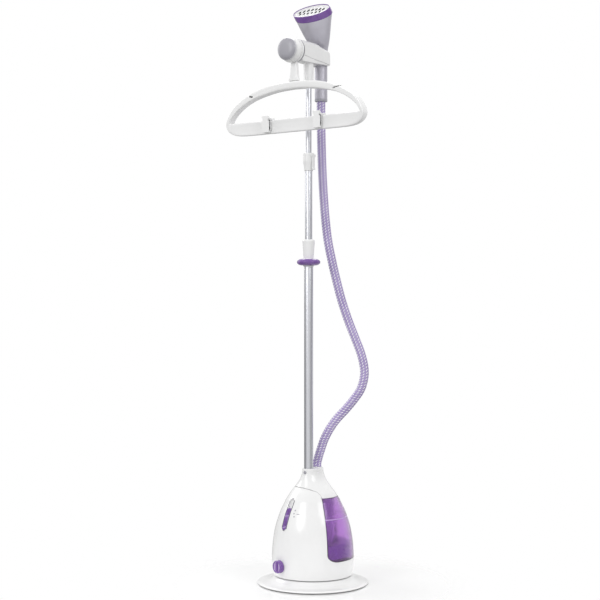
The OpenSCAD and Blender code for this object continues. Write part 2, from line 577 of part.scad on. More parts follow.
// The knob that clamps the hub: a wide foot that narrows to a domed grip.
module lock_knob() color(grey) along_hub() difference() {
    rotate_extrude($fn = 96) polygon([
        [0, 91.8], [31, 91.8], [33.4, 93.4], [34.4, 96.5], [34.2, 101], [33, 105.5], [31.4, 109],
        [30.6, 112.5], [31, 116], [30.2, 119.6], [28, 123.4], [24.4, 126.2], [18, 128], [9, 128.7],
        [0, 128.8]]);
    translate([0, 0, 90]) cylinder(r = bolt_r + run, h = 19, $fn = 48);
}
clip_pin_y = -97.6;
clip_pin_z = 1286;
module clip_saddle() {
    translate([-12, -94.6, 1252]) cube([24, 2.2, 33]);
    translate([-12, -77.6, 1250]) cube([24, 2.2, 39]);
    translate([-12, -94.6, 1282.4]) cube([24, 19.2, 3.2]);
    for (s = [-1, 1]) translate([s * 10.5 - 1.5, -99.9, 1282.4]) cube([3, 7.5, 5.5]);
    translate([-12, clip_pin_y, clip_pin_z]) rotate([0, 90, 0]) cylinder(r = 1.2, h = 24, $fn = 24);
}
module clip_jaw() difference() {
    union() {
        translate([-12, -103, 1248]) cube([24, 2.4, 32]);
        translate([-8.6, -103, 1279]) cube([17.2, 2.4, 8]);
        translate([-12, -103, 1286]) cube([24, 2.4, 7.5]);
        translate([-12, -100.7, 1248]) cube([24, 5.8, 4]);
        for (s = [-1, 1]) translate([s * 6 - 2.5, -100.7, 1283]) cube([5, 5.6, 6]);
    }
    translate([-20, clip_pin_y, clip_pin_z]) rotate([0, 90, 0]) cylinder(r = 1.3, h = 40, $fn = 24);
}
module clip_left() color(white) translate([-clip_x, 0, 0]) clip_saddle();
module clip_right() color(white) translate([clip_x, 0, 0]) clip_saddle();
module jaw_left() color(white) translate([-clip_x, 0, 0]) clip_jaw();
module jaw_right() color(white) translate([clip_x, 0, 0]) clip_jaw();

// ---------- steam head ----------

// One section of the head, made smaller by inset.
function head_ring(p, inset, sides) =
    [for (k = [0 : sides - 1])
        let(x = (p[2] - inset) * cos(360 * k / sides), d = (p[3] - inset) * sin(360 * k / sides))
        [x, p[0] + d * cos(p[4]), p[1] + d * sin(p[4])]];
module head_shell() color(grey) difference() {
    loft([for (p = curve(HEAD, 2)) head_ring(p, 0, 40)]);
    loft(concat([for (p = curve(HEAD, 2, 3)) head_ring(p, 2.6, 40)],
        [head_ring(HEAD[9] + [-0.67, 0.74, 0, 0, 0], 2.6, 40)]));
    translate([0, handle_back, 1330]) cylinder(r = 14.6, h = 130, $fn = 48);
}
// Frame of the steam plate: +Z out of the plate, +X along it.
module on_plate() {
    translate(plate_mid) rotate([90 - plate_tilt, 0, 0]) children();
}
function plate_oval(a, b) = [for (k = [0 : 47]) [a * cos(7.5 * k), b * sin(7.5 * k)]];
module head_rim() color(purple) on_plate() difference() {
    translate([0, 0, -rim_h]) linear_extrude(rim_h) polygon(plate_oval(plate_half, 31.6));
    translate([0, 0, -4]) linear_extrude(10) polygon(plate_oval(plate_half - 2, 29.6));
    translate([0, 0, -rim_h - 1]) linear_extrude(20) polygon(plate_oval(plate_half - 8, 24));
}
module steam_hole(x, y, wide, long) {
    translate([x, y, -6]) scale([wide, long, 1]) cylinder(r = 1, h = 10, $fn = 24);
}
module steam_plate() color("whitesmoke") on_plate() difference() {
    translate([0, 0, -4]) linear_extrude(4.6) polygon(plate_oval(plate_half - 2.2, 29.4));
    for (k = [-3 : 3]) steam_hole(k * 13.5, 6 - 0.61 * k * k, 4, 6.4);
    for (k = [-2.5 : 2.5]) steam_hole(k * 13.5, -11 + 0.24 * k * k, 3.4, 5.2);
}
// The duct's sections, as for the head; it seats in the handle's bore above the hose.
DUCT = [[39, 1396, 14.5, 14.5, 0], [39, 1400, 14.5, 14.5, 0], [39, 1401, 11, 11, 0], [39, 1470, 11, 11, 0],
        [37.6, 1488, 11, 11, 4], [32, 1504, 11, 11, 14], [22.5, 1526, 12, 12, 28], [12, 1549, 14, 13, 38]];
DUCT_BORE = [[39, 1395, 9, 9, 0], [39, 1470, 9, 9, 0], [37.6, 1488, 9, 9, 4], [32, 1504, 9, 9, 14],
             [22.5, 1526, 10, 10, 28], [11.4, 1550, 12, 11, 38]];
module steam_duct() color("whitesmoke") difference() {
    loft([for (p = DUCT) head_ring(p, 0, 24)]);
    loft([for (p = DUCT_BORE) head_ring(p, 0, 24)]);
}
module hose_cuff() color(grey) translate([0, handle_back, 0]) rotate_extrude($fn = 64) polygon([
    [hose_r + 0.1, 1341], [16.4, 1341], [17.6, 1342.4], [17.9, 1347.9], [14.5, 1347.9],
    [14.5, 1366], [hose_r + 0.1, 1366]]);

base_plate();
rubber_feet();
ballast_ring();
chassis();
front_housing();
neck_cover();
tank_bay();
tank_body();
tank_lid();
tank_valve();
valve_seat();
pump();
inlet_pipe();
feed_pipe();
boiler_base();
boiler_gasket();
boiler_lid();
heating_element();
thermostat();
steam_pipe();
drain_valve();
drain_pipe();
drain_knob();
slider_tray();
steam_slider();
slide_switch();
control_board();
board_bracket();
cord_gland();
mast_socket();
release_button();
hose_socket();
hose();
lower_tube();
twist_collar();
lock_ring();
middle_tube();
middle_bush();
clamp_collar();
clamp_lever();
lever_pin();
upper_tube();
upper_bush();
bracket_lower();
bracket_upper();
bracket_screws();
pivot_bolt();
hub_washer();
hanger_hub();
hanger_frame();
lock_knob();
clip_left();
clip_right();
jaw_left();
jaw_right();
head_shell();
head_rim();
steam_plate();
steam_duct();
hose_cuff();
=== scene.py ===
import json
from functools import partial
from math import asin, atan, copysign, cos, degrees, exp, hypot, pi, radians, sin, sqrt, tau

import bmesh
import bpy
from mathutils import Matrix, Vector


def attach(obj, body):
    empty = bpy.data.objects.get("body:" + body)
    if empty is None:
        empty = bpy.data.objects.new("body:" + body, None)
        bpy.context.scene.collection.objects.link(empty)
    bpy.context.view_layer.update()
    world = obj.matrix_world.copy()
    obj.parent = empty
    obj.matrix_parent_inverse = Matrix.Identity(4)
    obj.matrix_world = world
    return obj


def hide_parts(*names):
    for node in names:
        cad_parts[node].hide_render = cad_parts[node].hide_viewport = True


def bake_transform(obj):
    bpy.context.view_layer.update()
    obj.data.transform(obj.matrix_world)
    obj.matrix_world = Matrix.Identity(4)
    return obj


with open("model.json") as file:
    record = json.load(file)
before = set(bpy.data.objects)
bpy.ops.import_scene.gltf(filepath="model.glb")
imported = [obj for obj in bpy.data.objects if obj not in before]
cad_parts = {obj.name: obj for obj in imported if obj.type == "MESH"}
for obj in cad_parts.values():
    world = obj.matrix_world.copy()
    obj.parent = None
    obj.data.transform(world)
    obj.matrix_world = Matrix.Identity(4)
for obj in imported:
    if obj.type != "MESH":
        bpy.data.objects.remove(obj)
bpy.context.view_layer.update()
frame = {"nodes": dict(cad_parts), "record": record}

MM = 0.001


def new_object(name, data):
    made = bpy.data.objects.new(name, data)
    bpy.context.scene.collection.objects.link(made)
    return made


# ---- camera ----

CAMERA_PLACE = (2.1923, -2.9684, 0.786)
CAMERA_AIM = (-0.6018, 0.7986, 0)
CAMERA_LENS = 79.68

camera = new_object("camera", bpy.data.cameras.new("camera"))
camera.location = CAMERA_PLACE
camera.rotation_euler = Vector(CAMERA_AIM).to_track_quat("-Z", "Y").to_euler()
camera.data.lens = CAMERA_LENS
camera.data.sensor_width = 36
bpy.context.scene.camera = camera


# ---- curves and meshes ----

def on_span(points, i, t):
    """The point at share t of the smooth curve's span that starts at point i."""
    last = len(points) - 1
    a, b, c, d = (Vector(points[min(max(i + k, 0), last)]) for k in (-1, 0, 1, 2))
    bend = 2 * a - 5 * b + 4 * c - d
    return 0.5 * (2 * b + t * (c - a) + t * t * bend + t ** 3 * (3 * b - a - 3 * c + d))


def smooth_curve(points, steps):
    """The smooth curve through the points, in steps a span."""
    return [on_span(points, i, k / steps) for i in range(len(points) - 1) for k in range(steps)] + [
        Vector(points[-1])]


def rounded(points, radius, steps=4):
    """The closed outline with each corner as a short curve; a third number is that corner's own radius."""
    made = []
    n = len(points)
    for i, p in enumerate(points):
        r = p[2] if len(p) > 2 else radius
        here, before, after = (Vector(q[:2]) for q in (p, points[i - 1], points[(i + 1) % n]))
        if r <= 0:
            made.append(here)
            continue
        u, v = before - here, after - here
        start = here + u.normalized() * min(r, 0.45 * u.length)
        stop = here + v.normalized() * min(r, 0.45 * v.length)
        for k in range(steps + 1):
            t = k / steps
            made.append((1 - t) ** 2 * start + 2 * t * (1 - t) * here + t * t * stop)
    return made


def joined(rings, closed_rings=True, closed_path=False, caps=True):
    """Vertices and faces of a skin over rings of equal length."""
    n, m = len(rings[0]), len(rings)
    verts = [tuple(p) for ring in rings for p in ring]
    faces = []
    for i in range(m if closed_path else m - 1):
        j = (i + 1) % m
        for k in range(n if closed_rings else n - 1):
            l = (k + 1) % n
            faces.append((i * n + k, i * n + l, j * n + l, j * n + k))
    if caps and closed_rings and not closed_path:
        faces += [tuple(range(n - 1, -1, -1)), tuple(range((m - 1) * n, m * n))]
    return verts, faces


def both(*parts):
    """Several vertex and face lists as one."""
    verts, faces = [], []
    for part_verts, part_faces in parts:
        start = len(verts)
        verts += list(part_verts)
        faces += [tuple(start + i for i in face) for face in part_faces]
    return verts, faces


def around(count):
    """Angles in equal steps all the way round."""
    return [tau * k / count for k in range(count)]


def turned(outline, sides):
    """The closed outline (radius, height) turned about +Z."""
    rings = [[(p[0] * cos(a), p[0] * sin(a), p[1]) for p in outline] for a in around(sides)]
    return joined(rings, closed_path=True)


def mesh_object(name, verts, faces, place=Matrix(), weld=1e-4):
    """A mesh object from millimetres, with its normals facing out."""
    bm = bmesh.new()
    made = [bm.verts.new(v) for v in verts]
    for face in faces:
        if len(set(face)) > 2:
            try:
                bm.faces.new([made[i] for i in face])
            except ValueError:
                continue
    bmesh.ops.remove_doubles(bm, verts=bm.verts, dist=weld)
    bmesh.ops.dissolve_degenerate(bm, edges=bm.edges, dist=1e-5)
    loose = [edge for edge in bm.edges if not edge.link_faces]
    bmesh.ops.delete(bm, geom=loose, context="EDGES")
    bmesh.ops.recalc_face_normals(bm, faces=bm.faces)
    bmesh.ops.transform(bm, matrix=Matrix.Scale(MM, 4) @ place, verts=bm.verts)
    mesh = bpy.data.meshes.new(name)
    bm.to_mesh(mesh)
    bm.free()
    return new_object(name, mesh)


def applied(obj):
    """Turns the object's modifiers into its mesh."""
    graph = bpy.context.evaluated_depsgraph_get()
    mesh = bpy.data.meshes.new_from_object(obj.evaluated_get(graph))
    obj.modifiers.clear()
    obj.data = mesh
    mesh.name = obj.name
    return obj


def cut(obj, *cutters, operation="DIFFERENCE"):
    """Cuts the cutters out of the object and removes them."""
    for cutter in cutters:
        step = obj.modifiers.new("cut", "BOOLEAN")
        step.object = cutter
        step.operation = operation
        step.solver = "EXACT"
    applied(obj)
    for cutter in cutters:
        bpy.data.objects.remove(cutter)


def piece(obj, body, slot, nodes=(), sharp=35, looks=()):
    """Finishes a piece: its shading, materials, the body it rides on and the CAD nodes it stands for."""
    for polygon in obj.data.polygons:
        polygon.use_smooth = True
    obj.data.set_sharp_from_angle(angle=radians(sharp))
    for look in looks or (slot,):
        obj.data.materials.append(MATERIALS[look])
    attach(obj, body)
    if nodes:
        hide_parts(*nodes)


# ---- materials ----

CLOUD, UNEVEN_GLOSS, DRAWN_LINES = 14, 60, 700      # how many to a metre
SKIN_DEPTH, LINE_DEPTH = 0.000006, 0.000002


def linear(colour):
    """A colour from its 0 to 255 screen values."""
    return tuple((c / 255 / 12.92 if c <= 10 else ((c / 255 + 0.055) / 1.055) ** 2.4) for c in colour) + (1,)


def add_node(tree, kind, inputs=(), **values):
    """A node with its settings; each input is linked or set to a value."""
    made = tree.nodes.new(kind)
    for key, value in values.items():
        setattr(made, key, value)
    for key, value in dict(inputs).items():
        if isinstance(value, bpy.types.NodeSocket):
            tree.links.new(value, made.inputs[key])
        else:
            made.inputs[key].default_value = value
    return made


def spread(tree, value, start, stop, low, high, shape="SMOOTHSTEP"):
    """The value's stretch from start to stop, spread from low to high."""
    inputs = {"Value": value, "From Min": start, "From Max": stop, "To Min": low, "To Max": high}
    return add_node(tree, "ShaderNodeMapRange", inputs, interpolation_type=shape).outputs["Result"]


class Shader:
    """A Principled material whose colour, roughness and bump come from procedural nodes."""

    def __init__(self, name, roughness=0.3, **constants):
        self.material = bpy.data.materials.new(name)
        self.material.use_nodes = True
        self.tree = self.material.node_tree
        self.shader = self.tree.nodes["Principled BSDF"]
        self.shader.inputs["Roughness"].default_value = roughness
        for key, value in constants.items():
            self.shader.inputs[key.replace("_", " ")].default_value = value
        self.node = partial(add_node, self.tree)
        self.coords = self.node("ShaderNodeTexCoord")

    def noise(self, scale, stretch=(1, 1, 1), detail=3, rough=0.55):
        """Noise in the object's own metres, stretched along its axes."""
        place = self.node("ShaderNodeMapping", {"Vector": self.coords.outputs["Object"], "Scale": stretch})
        inputs = {"Vector": place.outputs["Vector"], "Scale": scale, "Detail": detail, "Roughness": rough}
        return self.node("ShaderNodeTexNoise", inputs).outputs["Fac"]

    def ranged(self, noise, low, high):
        """The noise's middle stretch, spread from low to high."""
        return spread(self.tree, noise, 0.3, 0.7, low, high, "LINEAR")

    def colour(self, noise, first, second):
        """The base colour: two linear colours, mixed by the noise."""
        mix = self.node("ShaderNodeMix", {"Factor": self.ranged(noise, 0, 1), "A": first, "B": second},
                        data_type="RGBA")
        self.tree.links.new(mix.outputs["Result"], self.shader.inputs["Base Color"])

    def roughness(self, socket):
        self.tree.links.new(socket, self.shader.inputs["Roughness"])

    def bump(self, height, depth, strength=0.4):
        made = self.node("ShaderNodeBump", {"Height": height, "Distance": depth, "Strength": strength})
        self.tree.links.new(made.outputs["Normal"], self.shader.inputs["Normal"])


def plastic(name, colour, second, roughness, grain=420, **constants):
    """Moulded plastic: faint cloudiness in its colour, a fine skin, and roughness that varies a little."""
    made = Shader(name, roughness, **constants)
    made.colour(made.noise(CLOUD), linear(colour), linear(second))
    made.roughness(made.ranged(made.noise(UNEVEN_GLOSS), roughness * 0.85, roughness * 1.25))
    made.bump(made.noise(grain, detail=2), SKIN_DEPTH)
    return name, made.material


def brushed(name, colour, second, roughness):
    """Drawn metal, with fine lines along Z."""
    made = Shader(name, roughness, Metallic=1.0)
    lines = made.noise(DRAWN_LINES, (1, 1, 0.02), detail=4)
    made.colour(lines, linear(colour), linear(second))
    made.roughness(made.ranged(lines, roughness * 0.8, roughness * 1.3))
    made.bump(lines, LINE_DEPTH, 0.3)
    return name, made.material


def rough_cast(name, colour, second, roughness, grain, depth, **constants):
    """Cast metal, rubber or board: a visible grain in colour and surface."""
    made = Shader(name, roughness, **constants)
    grains = made.noise(grain, detail=5, rough=0.65)
    made.colour(grains, linear(colour), linear(second))
    made.roughness(made.ranged(grains, roughness * 0.8, min(1, roughness * 1.2)))
    made.bump(grains, depth, 0.5)
    return name, made.material


MATERIALS = dict([
    plastic("gloss_white", (240, 240, 240), (237, 237, 237), 0.18, Coat_Weight=0.3),
    plastic("gloss_purple", (122, 82, 160), (114, 74, 152), 0.2, Coat_Weight=0.3),
    plastic("tank_purple", (226, 188, 243), (222, 183, 240), 0.2, Transmission_Weight=0.94, IOR=1.3,
            Coat_Weight=0.6),
    # opaque lighter lilac: painted highlight along the tank's seam
    plastic("seam_highlight_lilac", (214, 186, 232), (208, 180, 228), 0.3),
    # lighter lilac: painted highlight on the drain knob's dish
    plastic("dish_highlight_lilac", (188, 164, 208), (182, 158, 203), 0.25, Coat_Weight=0.6),
    plastic("filter_purple", (120, 34, 160), (110, 30, 150), 0.3),
    plastic("trim_grey", (170, 169, 177), (164, 163, 171), 0.36),
    plastic("knob_grey", (160, 159, 167), (154, 153, 161), 0.42, Coat_Weight=0.8, Coat_Roughness=0.3),
    # near black with almost no gloss: painted shade for the dark inside of the steam holes
    plastic("painted_hole_shade", (8, 8, 9), (6, 6, 7), 0.9, Specular_IOR_Level=0.05),
    plastic("knob_rim", (206, 206, 211), (200, 200, 205), 0.3),
    plastic("bezel_grey", (112, 110, 120), (104, 102, 112), 0.35),
    plastic("head_silver", (188, 186, 195), (181, 179, 188), 0.48, grain=2500, Metallic=0.6),
    rough_cast("chassis_grey", (92, 92, 96), (84, 84, 88), 0.6, 300, 0.00005),
    plastic("bush_plastic", (222, 222, 218), (214, 214, 210), 0.45),
    rough_cast("board_green", (38, 98, 62), (30, 84, 52), 0.5, 400, 0.00003),
    plastic("ceramic_white", (216, 216, 217), (211, 211, 212), 0.4),
    plastic("silicone_pipe", (214, 214, 210), (204, 204, 200), 0.4),
    rough_cast("seal_rubber", (52, 52, 54), (44, 44, 46), 0.7, 500, 0.00003),
    rough_cast("rubber_black", (34, 34, 36), (26, 26, 28), 0.75, 500, 0.00003),
    rough_cast("gasket_red", (160, 52, 44), (146, 44, 38), 0.6, 500, 0.00003),
    rough_cast("ballast_iron", (74, 74, 76), (58, 58, 60), 0.7, 260, 0.0001, Metallic=0.6),
    rough_cast("boiler_alloy", (170, 170, 172), (150, 150, 153), 0.45, 350, 0.00006, Metallic=1.0),
    brushed("tube_alloy", (206, 207, 212), (196, 197, 202), 0.34),
    brushed("plain_steel", (170, 171, 174), (158, 159, 162), 0.28),
    plastic("hose_braid", (176, 160, 206), (160, 143, 192), 0.6, grain=400),
    plastic("hose_stitch", (240, 238, 246), (232, 229, 240), 0.5),
])

slot_of = {part["node"]: part["material_slot"] for part in frame["record"]["subparts"]}
for name, node in frame["nodes"].items():
    for socket in node.material_slots:
        socket.material = MATERIALS[slot_of[name]]


# ---- braided hose ----

HOSE_ROUTE = [
    (0, 0.02, 0.314), (0, 0.02, 0.323), (0, 0.02, 0.3315), (0.0026, 0.022, 0.346), (0.008, 0.025, 0.366),
    (0.018, 0.03, 0.398), (0.032, 0.037, 0.428), (0.05, 0.046, 0.456), (0.072, 0.056, 0.482),
    (0.093, 0.066, 0.51), (0.109, 0.074, 0.536), (0.117, 0.078, 0.562), (0.119, 0.08, 0.588),
    (0.115, 0.079, 0.616), (0.107, 0.076, 0.645), (0.095, 0.071, 0.678), (0.077, 0.064, 0.726),
    (0.059, 0.057, 0.782), (0.044, 0.051, 0.842), (0.032, 0.046, 0.897), (0.022, 0.042, 0.95),
    (0.015, 0.04, 1.007), (0.01, 0.039, 1.066), (0.006, 0.039, 1.12), (0.003, 0.039, 1.18),
    (0.001, 0.039, 1.24), (0, 0.039, 1.3), (0, 0.039, 1.345), (0, 0.039, 1.395)]
HOSE_SPLIT = 19           # the route's point where the two halves meet
ROUTE_STEPS = 8           # steps of the smooth curve between two points of the route
HOSE_RADIUS = 0.0116
HOSE_STEP = 0.002         # between two rings of the hose's skin
HOSE_SIDES = 56
STRANDS = 14              # strands of the braid in each direction
STRAND_RELIEF = 0.0005
STITCH_ROWS = 8
STITCH_PITCH = 0.0078
STITCH_LENGTH = 0.0054
STITCH_WIDTH = 0.003


def even_path(points, step):
    """Points along the polyline about a step apart, and its whole length."""
    runs = [0.0]
    for a, b in zip(points, points[1:]):
        runs.append(runs[-1] + (b - a).length)
    count = max(2, round(runs[-1] / step))
    made, i = [], 0
    for k in range(count + 1):
        run = runs[-1] * k / count
        while i < len(points) - 2 and runs[i + 1] < run:
            i += 1
        made.append(points[i].lerp(points[i + 1], (run - runs[i]) / (runs[i + 1] - runs[i])))
    return made, runs[-1]


def path_frames(path):
    """A steady pair of side directions at each point of the path."""
    side = Vector((1, 0, 0))
    frames = []
    for i in range(len(path)):
        along = (path[min(i + 1, len(path) - 1)] - path[max(i - 1, 0)]).normalized()
        side = (side - along * side.dot(along)).normalized()
        frames.append((side.copy(), along.cross(side), along))
    return frames


def braid_height(angle, run):
    """Height of the braid's crossing strands at a place on the hose."""
    pitch = tau * HOSE_RADIUS / STRANDS
    a = angle / tau * STRANDS
    b = run / pitch
    left, right = sin(pi * (a + b)), sin(pi * (a - b))
    return STRAND_RELIEF * (abs(left) ** 0.7 + abs(right) ** 0.7 - 1)


def hose_skin(path, frames, start_run, step):
    """The braided skin round the path."""
    rings = []
    for i, (point, (u, v, _)) in enumerate(zip(path, frames)):
        ring = []
        for a in around(HOSE_SIDES):
            r = HOSE_RADIUS + braid_height(a, start_run + i * step)
            ring.append(point + (u * cos(a) + v * sin(a)) * r)
        rings.append(ring)
    return joined(rings)


def hose_stitch(centre, frame_here, row):
    """A slanted pale stitch that stands a little proud of the braid."""
    u, v, along = frame_here
    base = tau * (row + 0.5) / STITCH_ROWS
    verts = []
    for level, shrink in ((0.0001, 1.0), (0.0009, 0.72)):
        for t, s in ((-0.5, -0.6), (-0.5, 0.4), (0.5, 0.6), (0.5, -0.4)):
            a = base + (s * shrink + t * 0.9) * STITCH_WIDTH / HOSE_RADIUS
            out = u * cos(a) + v * sin(a)
            r = HOSE_RADIUS + STRAND_RELIEF * 0.4 + level
            verts.append(centre + out * r + along * (t * STITCH_LENGTH * shrink))
    sides = [(k, (k + 1) % 4, 4 + (k + 1) % 4, 4 + k) for k in range(4)]
    return verts, [(4, 5, 6, 7)] + sides


def hose_stitches(path, frames, start_run, step, length):
    """The rows of stitches; they run on from one half of the hose to the other."""
    made = []
    for row in range(STITCH_ROWS):
        for j in range(1, int((start_run + length) / STITCH_PITCH) + 1):
            run = (j + 0.5 * (row % 2)) * STITCH_PITCH - start_run
            if 0 < run <= length:
                place = run / step
                i = min(int(place), len(path) - 2)
                made.append(hose_stitch(path[i].lerp(path[i + 1], place - i), frames[i], row))
    return made


def hose_piece(name, first, last, start_run):
    """One half of the hose, along its part of the route; gives its length."""
    route = smooth_curve(HOSE_ROUTE, ROUTE_STEPS)
    path, length = even_path(route[first * ROUTE_STEPS:last * ROUTE_STEPS + 1], HOSE_STEP)
    frames = path_frames(path)
    step = length / (len(path) - 1)
    braid = hose_skin(path, frames, start_run, step)
    verts, faces = both(braid, *hose_stitches(path, frames, start_run, step, length))
    mesh = bpy.data.meshes.new(name)
    mesh.from_pydata([tuple(v) for v in verts], [], faces)
    bm = bmesh.new()
    bm.from_mesh(mesh)
    bmesh.ops.recalc_face_normals(bm, faces=bm.faces)
    bm.to_mesh(mesh)
    bm.free()
    mesh.materials.append(MATERIALS["hose_braid"])
    mesh.materials.append(MATERIALS["hose_stitch"])
    for polygon in mesh.polygons:
        polygon.use_smooth = True
        polygon.material_index = int(polygon.index >= len(braid[1]))
    hose = new_object(name, mesh)
    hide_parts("hose")
    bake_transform(hose)
    return length


lower_length = hose_piece("hose_lower", 0, HOSE_SPLIT, 0.0)
hose_piece("hose_upper", HOSE_SPLIT, len(HOSE_ROUTE) - 1, lower_length)


# ---- base: outlines shared with the CAD, in millimetres ----

BODY = [(20, 108.2), (27, 109.6), (50, 112.6), (80, 113.4), (120, 110.6), (160, 103.6), (200, 90.5),
        (235, 74), (255, 61), (272, 47.5), (290, 36), (306, 30)]
NECK_START = 265.8        # above this height the neck turns oval
NECK_TOP = 320
TANK_MID, TANK_HALF = 117, 60      # the tank's direction and half its width, in degrees
BAY_FLOOR, BAY_CEILING = 74.6, 243.6
WINDOW_CORNER = 20
TANK_GAP = 0.6
TANK_SEAM = 188
CORE_RADIUS = 57          # of the bay's back wall
# The seam between housing and cover: degrees from the tank's middle, and height.
SEAM = [(60, 249.5), (62, 253.5), (67.6, 259.2), (76, 262.4), (84, 264.8), (98, 267.8), (112, 269.6),
        (130, 270), (180, 270)]
SEAM_GAP = 0.45
MAST_Y = -19.5
SOCKET_Y, CUFF_Y = 20, 39      # of the hose's two ends


def at_height(table, z):
    """The smooth table's row at z, a value of its first column."""
    i = next((k for k in range(len(table) - 2) if table[k + 1][0] >= z), len(table) - 2)
    return on_span(table, i, (z - table[i][0]) / (table[i + 1][0] - table[i][0]))


def body_radius(z):
    return at_height(BODY, z)[1]


NECK = [(BAY_CEILING + 7.4 * k,) + (body_radius(BAY_CEILING + 7.4 * k),) * 2 for k in range(4)] + [
    (279, 40.8, 46), (291, 32, 41.2), (306, 25.6, 37.4), (NECK_TOP, 24.2, 36.4)]


def half_widths(z):
    if z <= NECK_START:
        return (body_radius(z),) * 2
    return tuple(at_height(NECK, z)[1:])


def towards(angle, radius, z=0.0):
    """A point in the direction that is angle degrees from the front towards the right."""
    a = radians(angle)
    return Vector((radius * sin(a), -radius * cos(a), z))


def on_base(angle, z, inset=0.0):
    """A point of the base's outside."""
    a, b = half_widths(z)
    turn = radians(angle)
    return Vector(((a - inset) * sin(turn), -(b - inset) * cos(turn), z))


def from_tank(angle):
    """Degrees between a direction and the tank's middle."""
    return abs((angle - TANK_MID + 180) % 360 - 180)


def seam_height(angle):
    return at_height(SEAM, min(max(from_tank(angle), SEAM[0][0]), SEAM[-1][0]))[1]


window_edge = body_radius(BAY_FLOOR) * sin(radians(TANK_HALF))


def corner_rise(d):
    """Height of the window's rounded corner above its floor, at distance d from the side."""
    r = WINDOW_CORNER
    return r - sqrt(r * r - (r - min(max(d, 0), r)) ** 2)


def base_columns():
    """Directions round the base, closer together at the window's rounded corners."""
    near = [WINDOW_CORNER * (1 - cos(radians(t))) for t in range(0, 91, 10)]
    offs = [degrees(asin((window_edge - d) / body_radius(BAY_FLOOR))) for d in near]
    offs += [offs[-1] * k / 12 for k in range(11, 0, -1)]
    tank = [TANK_MID - off for off in offs] + [TANK_MID] + [TANK_MID + off for off in reversed(offs)]
    rest = [TANK_MID + TANK_HALF + 2.5 * k for k in range(1, 96)]
    return tank, rest


def skin(columns, levels, closed):
    """A grid on the base's outside; levels gives the heights at a direction."""
    grid = [[on_base(angle, z) for z in levels(angle)] for angle in columns]
    return joined(grid, closed_rings=False, closed_path=closed)


def thickened(obj, wall, bevel=0.6):
    """Gives an open skin its wall, inwards, and softens the edges."""
    step = obj.modifiers.new("wall", "SOLIDIFY")
    step.thickness = wall * MM
    step.offset = -1
    step.use_even_offset = True
    applied(softened(obj, bevel))


def softened(obj, width, segments=3):
    """Rounds the edges that bend by more than 50 degrees."""
    step = obj.modifiers.new("edges", "BEVEL")
    step.width = width * MM
    step.segments = segments
    step.limit_method = "ANGLE"
    step.angle_limit = radians(50)
    step.use_clamp_overlap = True
    return obj


def turned_object(name, outline, radius, place=Matrix(), steps=4, sides=96):
    """The outline with its corners rounded, turned about +Z and put in its place."""
    return mesh_object(name, *turned(rounded(outline, radius, steps), sides), place=place)


def rod(radius, start, stop):
    """A plain cutter between two points."""
    start, stop = Vector(start), Vector(stop)
    turn = (stop - start).to_track_quat("Z", "Y").to_matrix().to_4x4()
    outline = [(0, 0), (radius, 0), (radius, (stop - start).length), (0, (stop - start).length)]
    return mesh_object("cutter", *turned(outline, 64), place=Matrix.Translation(start) @ turn)


# ---- base: housing, cover and foot plate ----

BAND_TOP = BAY_FLOOR + WINDOW_CORNER
KNOB_AT, KNOB_Z = -15, 59.5      # the drain knob's direction and height
GLAND_AT, GLAND_Z = 200, 48
tank_columns, rest_columns = base_columns()


def window_floor(angle):
    off = from_tank(angle)
    if off >= TANK_HALF - 1e-6:
        return BAND_TOP
    return BAY_FLOOR + corner_rise(window_edge - body_radius(BAY_FLOOR) * sin(radians(off)))


def shares(low, high, count):
    return [low + (high - low) * k / count for k in range(count + 1)]


SLIDER_AT = -13.3
SLOT_LOW, SLOT_HIGH = 157, 241
SLOT_WIDTH = 20
SLIDER_WIDTH, SLIDER_LENGTH = 16.6, 62
SLIDER_TRAVEL = 26


def slot_frame():
    """The slot's directions, sideways, along it and out of the base, and its middle."""
    lean = atan((body_radius(SLOT_LOW) - body_radius(SLOT_HIGH)) / (SLOT_HIGH - SLOT_LOW))
    out = towards(SLIDER_AT, cos(lean), sin(lean))
    up = towards(SLIDER_AT, -sin(lean), cos(lean))
    side = up.cross(out)
    radius = (body_radius(SLOT_LOW) + body_radius(SLOT_HIGH)) / 2
    return side, up, out, towards(SLIDER_AT, radius, (SLOT_LOW + SLOT_HIGH) / 2)


slot_side, slot_up, slot_out, slot_middle = slot_frame()
SLOT_LENGTH = (SLOT_HIGH - SLOT_LOW) / slot_up.z + 2


def oblong(width, length):
    """Points of an oblong's outline, the long way along Y."""
    r = width / 2
    ends = []
    for end, first in ((1, 0), (-1, 180)):
        turns = [radians(first + 180 * k / 16) for k in range(17)]
        ends.append([(r * cos(a), end * (length / 2 - r) + r * sin(a)) for a in turns])
    made = []
    for part, other in (ends, ends[::-1]):
        (ax, ay), (bx, by) = part[-1], other[0]
        made += part + [(ax + (bx - ax) * k / 24, ay + (by - ay) * k / 24) for k in range(1, 24)]
    return made


def on_slot(u, w, height):
    """The point at (u, w) in the slot's frame that is height above the base's outside."""
    foot = slot_middle + slot_side * u + slot_up * w
    low, high = -30, 30
    for _ in range(40):
        middle = (low + high) / 2
        p = foot + slot_out * middle
        if hypot(p.x, p.y) < body_radius(p.z):
            low = middle
        else:
            high = middle
    return foot + slot_out * (low + height)


